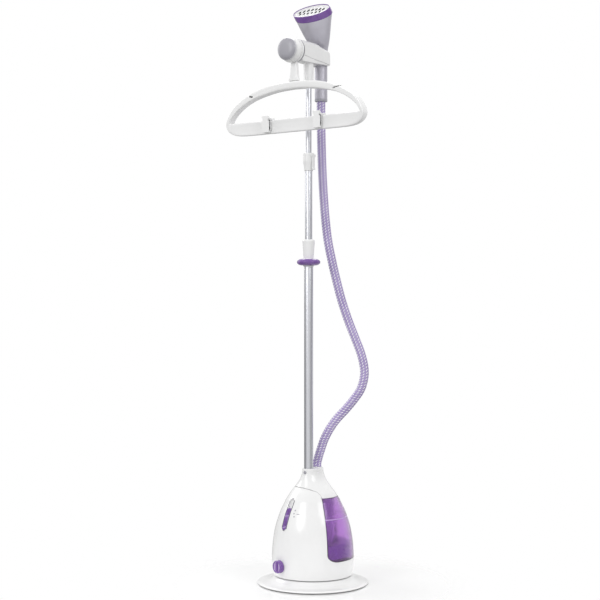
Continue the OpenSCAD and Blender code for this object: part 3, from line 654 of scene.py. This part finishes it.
def housing():
    band = skin(tank_columns + rest_columns, lambda a: shares(27, window_floor(a), 20), True)
    sides = [tank_columns[-1]] + rest_columns + [tank_columns[0] + 360]
    wall = skin(sides, lambda a: shares(BAND_TOP, seam_height(a) - SEAM_GAP, 44), False)
    made = mesh_object("housing", *both(band, wall), weld=0.01)
    thickened(made, 2.6)
    slot_rings = [[slot_middle + slot_side * u + slot_up * w + slot_out * x
                   for u, w in oblong(SLOT_WIDTH - 0.6, SLOT_LENGTH - 0.6)] for x in (-14, 20)]
    cut(made, mesh_object("cutter", *joined(slot_rings)),
        rod(9.4, towards(KNOB_AT, 95, KNOB_Z), towards(KNOB_AT, 135, KNOB_Z)),
        rod(7, towards(GLAND_AT, 95, GLAND_Z), towards(GLAND_AT, 130, GLAND_Z)))
    piece(made, "base", "gloss_white", ["front_housing"], sharp=30)


def cover():
    columns = [TANK_MID - TANK_HALF + 2.5 * k for k in range(144)]

    def levels(angle):
        low = BAY_CEILING + 0.2 if from_tank(angle) < TANK_HALF - 1e-6 else seam_height(angle) + SEAM_GAP
        return shares(low, NECK_TOP - 2.4, 30)

    wall = skin(columns, levels, True)
    top = [[on_base(a, z, inset) for a in columns] for z, inset in (
        (NECK_TOP - 2.4, 0), (NECK_TOP - 1.1, 0.25), (NECK_TOP - 0.3, 1.0), (NECK_TOP, 2.2))]
    lid_verts, lid_faces = joined(top, caps=False)
    lid_faces.append(tuple(range(3 * len(columns), 4 * len(columns))))
    made = mesh_object("cover", *both(wall, (lid_verts, lid_faces)), weld=0.01)
    thickened(made, 1.8, bevel=0.4)
    cut(made, rod(12.7, (0, MAST_Y, 300), (0, MAST_Y, 340)),
        rod(14.65, (0, SOCKET_Y, 300), (0, SOCKET_Y, 340)), rod(4.7, (0, -25, 310), (0, -60, 310)))
    piece(made, "base", "gloss_white", ["neck_cover"], sharp=30)


def foot_plate():
    outline = [
        (0, 25, 0), (107, 25), (110.5, 23), (115, 17.5), (121, 13.2), (129, 10.2), (139, 8.4), (146.6, 7.7),
        (147.2, 6.9, 0.5), (148, 7.5, 0.5), (151, 7, 1.2), (153, 5.6, 1.0), (153, 4, 0.8), (151.5, 3, 0.8),
        (148, 3), (138, 4.4), (127, 6.2), (118, 9), (111, 14), (106, 20.5), (104, 21), (0, 21, 0)]
    made = turned_object("foot_plate", outline, 3, steps=3, sides=160)
    rib = turned_object("foot_ring", [(117, 3), (128, 3), (128, 9), (117, 11)], 0.8, sides=160)
    piece(made, "base", "gloss_white", ["base_plate"])
    piece(rib, "base", "gloss_white", ["base_plate"])


housing()
cover()
foot_plate()


# ---- water tank ----

TANK_WALL = 2.0
FACE_STEPS = 28           # steps of the tank's curved face


def tank_outline(z, gap):
    """The tank's outline seen from above at height z, gap inside its bay."""
    radius = body_radius(z) - max(gap - TANK_GAP, 0)
    corner = WINDOW_CORNER - gap
    rise = min(max(z - BAY_FLOOR - gap, 0), corner)
    limit = window_edge - gap - corner + sqrt(corner ** 2 - (corner - rise) ** 2)
    side = TANK_HALF - degrees(gap / radius)
    core = CORE_RADIUS + gap
    end = min(side, degrees(asin(min(1, limit / radius))))
    bend = min(radius, limit / sin(radians(side)))
    points = [(end * (2 * k / FACE_STEPS - 1), radius) for k in range(FACE_STEPS + 1)]
    points += [(side, bend), (side, (bend + core) / 2), (side, core)]
    points += [(side * (1 - k / 6), core) for k in range(1, 12)]
    points += [(-side, core), (-side, (bend + core) / 2), (-side, bend)]
    return [towards(TANK_MID + a, r, z) for a, r in points]


def tank_shell(name, heights):
    """A thin-walled shell, along its outside and back along its inside; it is closed at the first height."""
    closed, way = heights[0], copysign(1, heights[-1] - heights[0])
    inner = [closed + way * max(way * (z - closed), TANK_WALL) for z in heights]
    rings = [tank_outline(z, TANK_GAP) for z in heights]
    rings += [tank_outline(z, TANK_GAP + TANK_WALL) for z in reversed(inner)]
    made = mesh_object(name, *joined(rings), weld=0.02)
    piece(made, "tank", "tank_purple", [name], sharp=40)


def tank():
    low = BAY_FLOOR + TANK_GAP
    corner = WINDOW_CORNER - TANK_GAP
    bend = [low + corner * (1 - cos(radians(t))) for t in range(0, 91, 10)]
    tank_shell("tank_body", bend + shares(bend[-1] + 5, TANK_SEAM - 0.6, 18))
    tank_shell("tank_lid", shares(TANK_SEAM + 0.6, BAY_CEILING - TANK_GAP, 12)[::-1])
    # A bead round the seam between tank body and lid; its lighter lilac is a painted highlight along the
    # seam.
    bead = [tank_outline(TANK_SEAM + rise, TANK_GAP + inset)
            for rise, inset in ((-1.4, 0.1), (1.4, 0.1), (1.4, 1.9), (-1.4, 1.9))]
    seal = mesh_object("tank_seal", *joined(bead, closed_path=True), weld=0.02)
    piece(seal, "tank", "tank_purple", looks=["seam_highlight_lilac"])
    rings = [tank_outline(z, gap) for z, gap in (
        (79.5, 9), (80.5, 6.5), (82.5, 5), (96, 5), (106, 5), (113, 6.5), (117, 10), (118.5, 15))]
    block = mesh_object("tank_filter", *joined(rings), weld=0.02)
    piece(block, "tank", "gloss_purple", looks=["filter_purple"])


# ---- controls ----

def oblong_rings(sizes, shift=0.0, lift=lambda u, w: 0.0):
    """Rings that follow the base's outside: each size is a width, a length and a height."""
    return [[on_slot(u, w + shift, height + lift(u, w)) for u, w in oblong(width, length)]
            for width, length, height in sizes]


# The tray's pale inside: half its width, how far it stays from the ends, and its depth.
TRAY_HALF, TRAY_EDGE, TRAY_DEPTH = 8.66, 1.36, 6


def slider():
    lip = [(20, -6.8), (20, 0.3), (19.6, 0.9), (19, 1.15), (17.9, 1.15), (17.5, 0.8), (17.4, 0.1),
           (17.2, -4.6)]
    rings = oblong_rings([(w, SLOT_LENGTH - SLOT_WIDTH + w, h) for w, h in lip])
    tray = mesh_object("slider_tray", *joined(rings))
    for polygon in tray.data.polygons:
        foot = polygon.center / MM - slot_middle
        u, w, h = (foot.dot(axis) for axis in (slot_side, slot_up, slot_out))
        inside = abs(u) < TRAY_HALF and abs(w) < SLOT_LENGTH / 2 - TRAY_EDGE
        polygon.material_index = int(inside and h > -TRAY_DEPTH)
    piece(tray, "base", "trim_grey", ["slider_tray"], looks=["bezel_grey", "gloss_white"])

    def lift(u, w):
        crown = 0.7 * (1 - (u / 8.3) ** 2)
        dishes = sum(exp(-((w - middle) / 7.5) ** 4) for middle in (-16, 16))
        return crown - 2.6 * dishes * max(0, 1 - (u / 7.2) ** 2)

    insets = [(0, -5.4), (0, -0.6), (0.15, 0.1), (0.5, 0.55), (1.1, 0.8), (1.8, 0.9)]
    insets += [(inset, 0.92) for inset in (2.6, 3.4, 4.2, 5.0, 5.8, 6.6, 7.4, 8.0)]
    sizes = [(SLIDER_WIDTH - 2 * inset, SLIDER_LENGTH - 2 * inset, height) for inset, height in insets]
    rings = oblong_rings(sizes[:2], -SLIDER_TRAVEL / 2) + oblong_rings(sizes[2:], -SLIDER_TRAVEL / 2, lift)
    button = mesh_object("steam_slider", *joined(rings))
    piece(button, "steam_slider", "gloss_purple", ["steam_slider"], sharp=60)


# Plain dots and a dash beside the slider: direction, height, and half their width and height.
MARKS = [(2.2, 212, 2.2, 2), (1.2, 204, 2.2, 2), (2.6, 196, 2.2, 2), (9.6, 203, 5, 1.1)]


def marks():
    parts = []
    for angle, z, wide, high in MARKS:
        turn = degrees(1 / body_radius(z))
        rings = []
        for scale, inset in ((1, 0.1), (1, -0.05), (0.9, -0.12)):
            a, b = turn * wide * scale, high * scale
            rings.append([on_base(angle + a * cos(t), z + b * sin(t), inset) for t in around(24)])
        parts.append(joined(rings))
    piece(mesh_object("marks", *both(*parts)), "base", "trim_grey")


def facing(angle, z):
    """Turns +Z to the direction that is angle degrees from the front, at height z."""
    out = towards(angle, 1)
    return Matrix.Translation((0, 0, z)) @ out.to_track_quat("Z", "Y").to_matrix().to_4x4()


def bar_on_top(width, length, low, high, fall):
    """A rounded bar with an oblong plan."""
    rings = [[(x, y, low) for x, y in oblong(width, length)]]
    for k in range(5):
        a = pi / 2 * k / 4
        inset = fall * (1 - cos(a))
        z = high - fall + fall * sin(a)
        rings.append([(x, y, z) for x, y in oblong(width - 2 * inset, length - 2 * inset)])
    return joined(rings)


DISH_RADIUS, DISH_TOP = 13.4, 125.6      # the drain knob's dish, lighter lilac as a painted highlight, around its axis


def drain_knob():
    outline = [
        (0, 90, 0), (7, 90, 0), (7, 113.8, 0), (16.8, 113.8), (17.6, 114.8), (17.6, 116.8), (16.4, 118.2),
        (15.6, 118.8), (15.6, 120.4), (16.9, 121.4), (17.3, 123), (17.3, 125.8, 1.6), (16, 127.8),
        (14.4, 126.4), (12.6, 124.4, 2), (0, 123.8, 0)]
    place = facing(KNOB_AT, KNOB_Z)
    knob = both(turned(rounded(outline, 0.7, 3), 96), bar_on_top(7.4, 26, 122, 128.4, 2.6))
    made = mesh_object("drain_knob", *knob, place=place)
    # The dish's outward faces are lighter lilac: a painted highlight.
    to_knob = place.inverted()
    for polygon in made.data.polygons:
        centre = to_knob @ (polygon.center / MM)
        in_dish = hypot(centre.x, centre.y) < DISH_RADIUS and centre.z < DISH_TOP
        faces_out = (to_knob.to_3x3() @ polygon.normal).normalized().z > 0.6
        polygon.material_index = int(in_dish and faces_out)
    piece(made, "drain_knob", "gloss_purple", ["drain_knob"], 40, ["gloss_purple", "dish_highlight_lilac"])


def small_base_parts():
    outline = [
        (0, 33.8, 0), (4.3, 33.8, 0.2), (4.3, 38.2, 0.6), (3.2, 38.9, 0.5), (2.6, 38.3, 0.4), (0, 38.2, 0)]
    made = turned_object("release_button", outline, 0.4, facing(0, 310), 3, 48)
    piece(made, "release_button", "trim_grey", ["release_button"])
    outline = [
        (5, 290, 0), (9, 290), (9, 306), (13, 306), (13, 316), (14.5, 316), (14.5, 322, 1.5),
        (12.4, 322, 0.8), (12.4, 314), (5, 314, 0)]
    made = turned_object("hose_socket", outline, 0.5, Matrix.Translation((0, SOCKET_Y, 0)))
    piece(made, "base", "gloss_white", ["hose_socket"])


tank()
slider()
marks()
drain_knob()
small_base_parts()


# ---- mast ----

AT_MAST = Matrix.Translation((0, MAST_Y, 0))
CLAMP_Z = 1143
LEVER_X, LEVER_Z = 15, CLAMP_Z + 41.5
# The tubes: name, body, inner and outer radius, lower and upper end.
TUBES = [("lower_tube", "base", 11.3, 12.5, 205, 930), ("middle_tube", "mast_mid", 8.8, 10, 740, 1165),
         ("upper_tube", "mast_top", 6.9, 8, 970, 1400)]


def mast_turned(name, outline, body, slot, radius=0.3):
    """A piece turned about the mast, named as its CAD node."""
    piece(turned_object(name, outline, radius, AT_MAST, 3), body, slot, [name])


def box(low, high):
    """Vertices and faces of a block between two corners."""
    (ax, ay, az), (bx, by, bz) = low, high
    return joined([[(ax, ay, z), (bx, ay, z), (bx, by, z), (ax, by, z)] for z in (az, bz)])


def extruded(outline, start, stop):
    """An outline in X and Z, carried from start to stop along Y."""
    return joined([[(p[0], y, p[1]) for p in outline] for y in (start, stop)])


def mast():
    for name, body, inner, outer, low, high in TUBES:
        mast_turned(name, [(inner, low), (outer, low), (outer, high), (inner, high)], body, "tube_alloy")
    mast_turned("twist_collar", [
        (12.5, 879), (15, 879), (15, 881.5), (14.2, 881.5), (14.2, 900), (13.8, 900.6), (15.0, 916, 6),
        (16.5, 940, 3), (16.9, 944, 0.2), (16.6, 944.5, 0.2), (17.0, 945, 0.2), (17.1, 950.4, 1.6),
        (15.6, 953, 1.4), (10.6, 953, 0.5), (10.2, 951.8), (10.2, 930), (12.5, 930)],
        "base", "gloss_white", 0.4)
    mast_turned("lock_ring", [
        (14.3, 899.5, 0.3), (14.3, 881.7, 0.3), (21, 881.7, 2), (26, 882.8, 2), (30, 885.4, 1.5),
        (32.1, 887.9, 0.6), (31.7, 888.5, 0.25), (32.45, 889.3, 0.5), (32.45, 891.9, 0.5),
        (31.7, 892.7, 0.25), (32.1, 893.3, 0.6), (30, 895.8, 1.5), (26, 898.4, 2), (21, 899.5, 2)],
        "lock_ring", "gloss_purple", 0.5)


def raised(outline, height):
    return [(p[0], height + p[1]) + p[2:] for p in outline]


def clamp():
    """The clamp collar with its lever and pin; the outlines' heights are above the collar's foot."""
    outline = [
        (10.1, 0), (11.8, 0), (12.4, 1), (13.4, 14, 5), (15.1, 23, 5), (15.4, 30, 4), (15.4, 41, 0.3),
        (15.1, 41.5, 0.3), (15.4, 42, 0.3), (15.4, 46.5, 1), (14.2, 49, 1.2), (8.6, 49, 0.5), (8.2, 48),
        (8.2, 22), (10.1, 22)]
    collar = turned_object("clamp_collar", raised(outline, CLAMP_Z), 0.4, AT_MAST)
    for middle in (-7.4, 7.4):
        ear = box((8, middle - 1.3, LEVER_Z - 3.4), (18, middle + 1.3, LEVER_Z + 3.4))
        cut(collar, mesh_object("ear", *ear, place=AT_MAST), operation="UNION")
    cut(collar, mesh_object("gap", *box((12, -6, CLAMP_Z - 1), (24, 6, CLAMP_Z + 59)), place=AT_MAST))
    piece(collar, "mast_mid", "gloss_white", ["clamp_collar"])
    outline = [
        (14.4, 41.5, 0), (14.4, 3), (19, 3), (19, 5.5), (17.7, 8, 2), (17.6, 35.5, 2), (17.9, 41.5, 2),
        (17, 43.8, 1), (15.2, 44.2, 1), (13.2, 43.1, 1), (12.6, 41.5, 0.5), (13.4, 39.9, 0.5)]
    ring = rounded(raised(outline, CLAMP_Z), 0.6)
    lever = mesh_object("clamp_lever", *extruded(ring, -5.7, 5.7), place=AT_MAST)
    piece(applied(softened(lever, 0.5, 2)), "clamp_lever", "gloss_white", ["clamp_lever"], sharp=50)
    turn = Matrix.Translation((LEVER_X, MAST_Y, LEVER_Z)) @ Matrix.Rotation(pi / 2, 4, "X")
    outline = [(0, -8.6, 0), (1.5, -8.6), (1.5, 8.6), (0, 8.6, 0)]
    pin = turned_object("lever_pin", outline, 0.4, turn, sides=32)
    piece(pin, "mast_mid", "plain_steel", ["lever_pin"])


mast()
clamp()


# ---- bracket, hub and knob ----

HUB_Z = 1466
ALONG_HUB = Matrix.Translation((0, 0, HUB_Z)) @ Matrix.Rotation(pi / 2, 4, "X")


def moulded(name, body, voxel, passes, shrink=1.0):
    """A CAD shape with the soft edges of a moulding: remeshed finely, then smoothed a little."""
    mesh = frame["nodes"][name].data.copy()
    mesh.transform(Matrix.Scale(shrink, 4, (1, 0, 0)))
    made = new_object(name, mesh)
    bm = bmesh.new()
    bm.from_mesh(mesh)
    bmesh.ops.remove_doubles(bm, verts=bm.verts, dist=1e-6)
    bm.to_mesh(mesh)
    bm.free()
    mesh.materials.clear()
    step = made.modifiers.new("remesh", "REMESH")
    step.mode = "VOXEL"
    step.voxel_size = voxel * MM
    step = made.modifiers.new("smooth", "SMOOTH")
    step.factor = 0.5
    step.iterations = passes
    piece(applied(made), body, "gloss_white", [name], sharp=60)


def bracket():
    moulded("bracket_upper", "mast_top", 0.8, 6)
    moulded("bracket_lower", "mast_top", 0.8, 5, shrink=0.93)


def hub():
    outline = [
        (7.05, 85, 0), (33.2, 85, 0.3), (34, 85.4, 0.3), (34, 85.9, 0.2), (33.5, 86.4, 0.2), (34, 86.9, 0.2),
        (34, 88.8, 0.8), (30.5, 91.4, 0.5), (7.05, 91.4, 0)]
    disc = turned_object("hub_disc", outline, 1, ALONG_HUB, sides=128)
    piece(disc, "hanger", "gloss_white", ["hanger_hub"], sharp=40)
    outline = [(25.6, 80.5), (33.1, 80.5), (33.1, 85.2), (25.6, 85.2)]
    recess = turned_object("hub_recess", outline, 0.3, ALONG_HUB)
    piece(recess, "hanger", "trim_grey", looks=["bezel_grey"])
    arm = [
        (-7, 1450), (10.2, 1450), (10.4, 1435), (11.2, 1420, 9), (12.8, 1400, 9), (14.8, 1390, 5),
        (18, 1383, 2), (12, 1383.8, 2), (0, 1384.4, 0), (-12, 1383.8, 2), (-17, 1383.2, 2), (-12, 1392, 5),
        (-9, 1405, 8), (-7.4, 1425, 8)]
    bar = mesh_object("hub_arm", *extruded(rounded(arm, 0.5, 5), -80.6, -91))
    piece(applied(softened(bar, 1.6)), "hanger", "gloss_white", ["hanger_hub"], sharp=40)


KNOB_FACE = 119.5         # the knob's cap is grey from this distance along the hub


def lock_knob():
    foot = [
        (7.05, 91.8, 0), (29, 91.8, 0.8), (33, 94.4, 1.5), (34.4, 98, 2), (34.2, 101.5, 3), (33, 105.5, 3),
        (31.4, 109, 1.5), (30.6, 112.4, 0.5), (29.4, 113, 0.3), (29.2, 115, 0), (7.05, 115, 0)]
    made = turned_object("knob_foot", foot, 0.5, ALONG_HUB, sides=128)
    piece(made, "lock_knob", "gloss_white", ["lock_knob"])
    cap = [
        (0, 113.4, 0), (29, 113.4, 0), (29.4, 113.6, 0.2), (30.6, 114, 0.4), (31, 116, 1), (30.2, 119.6, 2),
        (28, 123.4, 2), (24.4, 126.2, 2), (18, 128, 3), (9, 128.7, 4), (0, 128.8, 0)]
    made = turned_object("knob_cap", cap, 0.5, ALONG_HUB, 5, 128)
    for polygon in made.data.polygons:
        polygon.material_index = int(-polygon.center.y < KNOB_FACE * MM)
    piece(made, "lock_knob", "trim_grey", ["lock_knob"], looks=["knob_grey", "knob_rim"])


# ---- hanger ----

HANGER_Y = -85
# Outer x and z, inner x and z, depth and squareness of the band's section.
BAND = [
    (0, 1382, 0, 1360.5, 25, 4.0), (50, 1380, 50, 1358.5, 25, 4.4), (100, 1372.5, 98, 1351.8, 25, 5.5),
    (144, 1359.5, 140, 1341.8, 25, 6.5), (178, 1343.5, 172, 1328.9, 25, 7), (205, 1326.5, 196, 1313.8, 25, 7),
    (224, 1305, 212, 1299.6, 25, 7), (233, 1286, 219.5, 1289.5, 24.4, 6.5), (234, 1273, 220.3, 1284, 22.6, 6),
    (226, 1259.5, 214, 1282, 20, 6), (209, 1250, 200, 1282, 17.2, 6), (184, 1246, 180, 1282, 15, 6.5),
    (140, 1245, 140, 1282, 14, 7), (0, 1245, 0, 1282, 14, 7)]
BAND_SIDES = 64
BAR_HOLLOW = 1.6          # how far the bar's faces curve in
STRAP_X, STRAP_Z, STRAP_TILT = 147, 1352.5, 12      # the strap notches in the band's shoulders, each with a dark block in it as painted shade
CLIP_X = 87
# A clip spring's line in Y and Z.
SPRING = [(-95, 1281.6), (-97, 1280.4), (-99.4, 1275.5), (-99.2, 1270), (-96.6, 1264.5), (-95.4, 1260),
          (-96.2, 1256)]
SIDES = (("left", -1), ("right", 1))


def band_ring(knot, mirror):
    ox, oz, ix, iz, depth, square = knot
    ring = []
    for k in range(BAND_SIDES):
        a = tau * (k + 0.5) / BAND_SIDES
        c, s = (copysign(abs(v) ** (2 / square), v) for v in (cos(a), sin(a)))
        share = 0.5 + 0.5 * c
        hollow = BAR_HOLLOW * max(0, (19 - depth) / 5) * (1 - c * c) * s
        x, z = ix + (ox - ix) * share, iz + (oz - iz) * share
        ring.append((mirror * x, HANGER_Y + depth / 2 * s - hollow, z))
    return ring


def hanger():
    half = smooth_curve(BAND, 5)
    rings = [band_ring(knot, 1) for knot in half] + [band_ring(knot, -1) for knot in reversed(half[1:-1])]
    made = mesh_object("hanger", *joined(rings, closed_path=True))
    for word, side in SIDES:
        tilt = Matrix.Rotation(radians(-STRAP_TILT * side), 4, "Y")
        place = Matrix.Translation((side * STRAP_X, HANGER_Y, STRAP_Z)) @ tilt
        notch = box((side * 0.5 - 11.5, -20, -2), (side * 0.5 + 11.5, 0, 2))
        cut(made, applied(softened(mesh_object("notch", *notch, place=place), 0.6)))
        # A dark block at the back of each notch: painted shade for the notch's shaded inside.
        shade_pad = box((-10.5, -1.6, -1.9), (9, 0.4, 1.9))
        piece(mesh_object("notch_shade_pad_" + word, *shade_pad, place=place), "hanger", "rubber_black")
    piece(made, "hanger", "gloss_white", ["hanger_frame"], sharp=50)


def clip_spring(word, side):
    """A bent leaf of spring steel in the gap between a clip's saddle and its jaw."""
    line = smooth_curve(SPRING, 5)
    rings = []
    for i, p in enumerate(line):
        run = (line[min(i + 1, len(line) - 1)] - line[max(i - 1, 0)]).normalized()
        across = Vector((-run.y, run.x)) * 0.35
        corners = ((-10.5, -1), (10.5, -1), (10.5, 1), (-10.5, 1))
        rings.append([(x, p.x + k * across.x, p.y + k * across.y) for x, k in corners])
    place = Matrix.Translation((CLIP_X * side, 0, 0))
    piece(mesh_object("clip_spring_" + word, *joined(rings), place=place), "clip_" + word, "plain_steel")


def clips():
    for word, side in SIDES:
        moulded("clip_" + word, "clip_" + word, 0.5, 3)
        moulded("jaw_" + word, "jaw_" + word, 0.5, 3)
        clip_spring(word, side)


# ---- steam head ----

PLATE_LEAN = 42
PLATE = Matrix.Translation((0, -7.3, 1589)) @ Matrix.Rotation(radians(PLATE_LEAN), 4, "X")
# Sections of the head from the hose up: y, z, half the width and depth, and the lean.
HEAD = [
    (39, 1346, 17.5, 17.5, 0), (39, 1366, 17.6, 17.6, 0), (39, 1400, 17.4, 17.4, 0),
    (39, 1450, 17.6, 17.6, 0), (39, 1478, 18.2, 17.9, 0), (38.2, 1488, 20.6, 18, 3),
    (30.5, 1504, 30.8, 21.8, 13), (21.8, 1526, 41, 25.8, 24), (12.5, 1552, 51, 28.5, 33),
    (6.1, 1574.1, 59.7, 30.8, PLATE_LEAN)]
OVAL_SIDES = 72


def head_ring(section, inset):
    y, z, a, b, lean = section
    turn = radians(lean)
    ring = []
    for t in around(OVAL_SIDES):
        d = (b - inset) * sin(t)
        ring.append(((a - inset) * cos(t), y + d * cos(turn), z + d * sin(turn)))
    return ring


def ovals(sizes, count=OVAL_SIDES):
    """Oval rings: half the width and length of each, and its height."""
    return [[(a * cos(t), b * sin(t), z) for t in around(count)] for a, b, z in sizes]


def head():
    sections = smooth_curve(HEAD, 5)
    rings = [head_ring(s, 0) for s in sections] + [head_ring(s, 2.4) for s in reversed(sections)]
    shell = mesh_object("head_shell", *joined(rings, closed_path=True))
    piece(shell, "steam_head", "head_silver", ["head_shell"])
    rim = ovals([
        (60.2, 30.9, -20), (60.8, 31.4, -19.2), (61, 31.6, -17), (61, 31.6, -2), (60.7, 31.3, -0.7),
        (60.1, 30.7, 0), (59.5, 30.1, -0.2), (59.1, 29.7, -0.9), (59, 29.6, -4), (53, 24, -4),
        (53, 24, -19.6)])
    made = mesh_object("head_rim", *joined(rim, closed_path=True), place=PLATE)
    piece(made, "steam_head", "gloss_purple", ["head_rim"])
    sheet = ovals([
        (58.8, 29.4, -2.1), (58.8, 29.4, -1.9), (58.3, 28.9, -1.5), (57.3, 27.9, -1.2), (55.4, 26, -1.3),
        (54.2, 24.8, -1.6), (53, 23.6, -1.7)])
    made = mesh_object("steam_plate", *joined(sheet), place=PLATE)
    for count, wide, long, y, bow in ((7, 4, 6.4, 6, 5.5), (6, 3.4, 5.2, -11, -1.5)):
        for k in range(count):
            share = 2 * k / (count - 1) - 1
            hole = ovals([(wide, long, -6), (wide, long, 4)], 28)
            spot = PLATE @ Matrix.Translation((share * 6.75 * (count - 1), y - bow * share ** 2, 0))
            cut(made, mesh_object("hole", *joined(hole), place=spot))
    piece(made, "steam_head", "ceramic_white", ["steam_plate"], sharp=30)
    # A near-black sheet under the steam plate, seen through the holes: painted shade for the holes' dark
    # inside.
    shade_rings = ovals([(58.8, 29.4, -3.8), (58.8, 29.4, -2.15)])
    made = mesh_object("hole_shade_sheet", *joined(shade_rings), place=PLATE)
    piece(made, "steam_head", "rubber_black", looks=["painted_hole_shade"])
    cuff = [
        (12.1, 1341, 0.4), (16.4, 1341, 0.8), (17.6, 1342.4, 0.8), (17.95, 1345, 0.3), (17.4, 1345.6, 0.2),
        (17.95, 1346.2, 0.3), (17.95, 1347.9, 0.4), (14.5, 1347.9, 0), (14.5, 1366, 0), (12.1, 1366, 0)]
    made = turned_object("hose_cuff", cuff, 0.4, Matrix.Translation((0, CUFF_Y, 0)))
    piece(made, "steam_head", "trim_grey", ["hose_cuff"])


bracket()
hub()
lock_knob()
hanger()
clips()
head()


# ---- studio ----

FLOOR_NEAR, FLOOR_FAR = 0.24, 0.48      # the floor fades into the white background between these distances
AMBIENT_LOW, AMBIENT_HIGH = 0.38, 0.8
# Soft grey flags seen in reflections only: a direction, where the flag starts and is full, and its level.
FLAGS = [((-0.9, -0.2, -0.4), 0.4, 0.9, 0.35), ((0.97, 0.2, 0.1), 0.6, 0.93, 0.5),
         ((-0.6, 0.8, 0), 0.8, 0.99, 0.5)]


def world_light():
    """Even light, a little stronger from above; a white background, with the flags in the reflections."""
    world = bpy.data.worlds.new("studio")
    bpy.context.scene.world = world
    world.use_nodes = True
    tree = world.node_tree
    node = partial(add_node, tree)

    def background(strength):
        inputs = {"Color": (1, 1, 1, 1), "Strength": strength}
        return node("ShaderNodeBackground", inputs).outputs["Background"]

    place = node("ShaderNodeTexCoord").outputs["Generated"]
    height = node("ShaderNodeSeparateXYZ", {"Vector": place}).outputs["Z"]
    flagged = None
    for direction, start, stop, low in FLAGS:
        share = node("ShaderNodeVectorMath", {0: place, 1: direction}, operation="DOT_PRODUCT")
        flag = spread(tree, share.outputs["Value"], start, stop, 1, low)
        flagged = flag if flagged is None else node("ShaderNodeMath", {0: flagged, 1: flag},
                                                    operation="MULTIPLY").outputs["Value"]
    light = background(spread(tree, height, -0.6, 0.4, AMBIENT_LOW, AMBIENT_HIGH))
    rays = node("ShaderNodeLightPath").outputs
    either = node("ShaderNodeMath", {0: rays["Is Camera Ray"], 1: rays["Is Transmission Ray"]},
                  operation="MAXIMUM").outputs["Value"]
    inner = node("ShaderNodeMixShader", {"Fac": rays["Is Glossy Ray"], 1: light, 2: background(flagged)})
    outer = node("ShaderNodeMixShader", {"Fac": either, 1: inner.outputs["Shader"], 2: background(1.0)})
    tree.links.new(outer.outputs["Shader"], tree.nodes["World Output"].inputs["Surface"])


def lamp(name, place, size, power):
    light = bpy.data.lights.new(name, "AREA")
    light.shape = "DISK"
    light.size = size
    light.energy = power
    holder = new_object(name, light)
    holder.location = place
    holder.rotation_euler = (Vector((0, 0, 0.8)) - Vector(place)).to_track_quat("-Z", "Y").to_euler()


def studio_floor():
    """A pale floor that keeps the object's shadow and fades into the background further out."""
    bpy.ops.mesh.primitive_circle_add(vertices=128, radius=1.5, fill_type="NGON")
    floor = bpy.context.object
    floor.name = "floor"
    made = Shader("floor", 0.16)
    made.colour(made.noise(3), (0.95, 0.95, 0.95, 1), (0.94, 0.94, 0.94, 1))
    away = made.node("ShaderNodeVectorMath", {0: made.coords.outputs["Object"]}, operation="LENGTH")
    fade = spread(made.tree, away.outputs["Value"], FLOOR_NEAR, FLOOR_FAR, 0, 1)
    clear = made.node("ShaderNodeBsdfTransparent").outputs["BSDF"]
    mix = made.node("ShaderNodeMixShader", {"Fac": fade, 1: made.shader.outputs["BSDF"], 2: clear})
    made.tree.links.new(mix.outputs["Shader"], made.tree.nodes["Material Output"].inputs["Surface"])
    floor.data.materials.append(made.material)


world_light()
lamp("key", (-0.4, -3.4, 2.2), 2.0, 34)
lamp("left", (-3.3, -0.5, 2.2), 2.0, 26)
lamp("right", (3.2, -0.7, 2.6), 2.0, 30)
lamp("back", (-1.0, 1.6, 3.0), 1.8, 34)
studio_floor()
bpy.context.scene.view_settings.view_transform = "Standard"
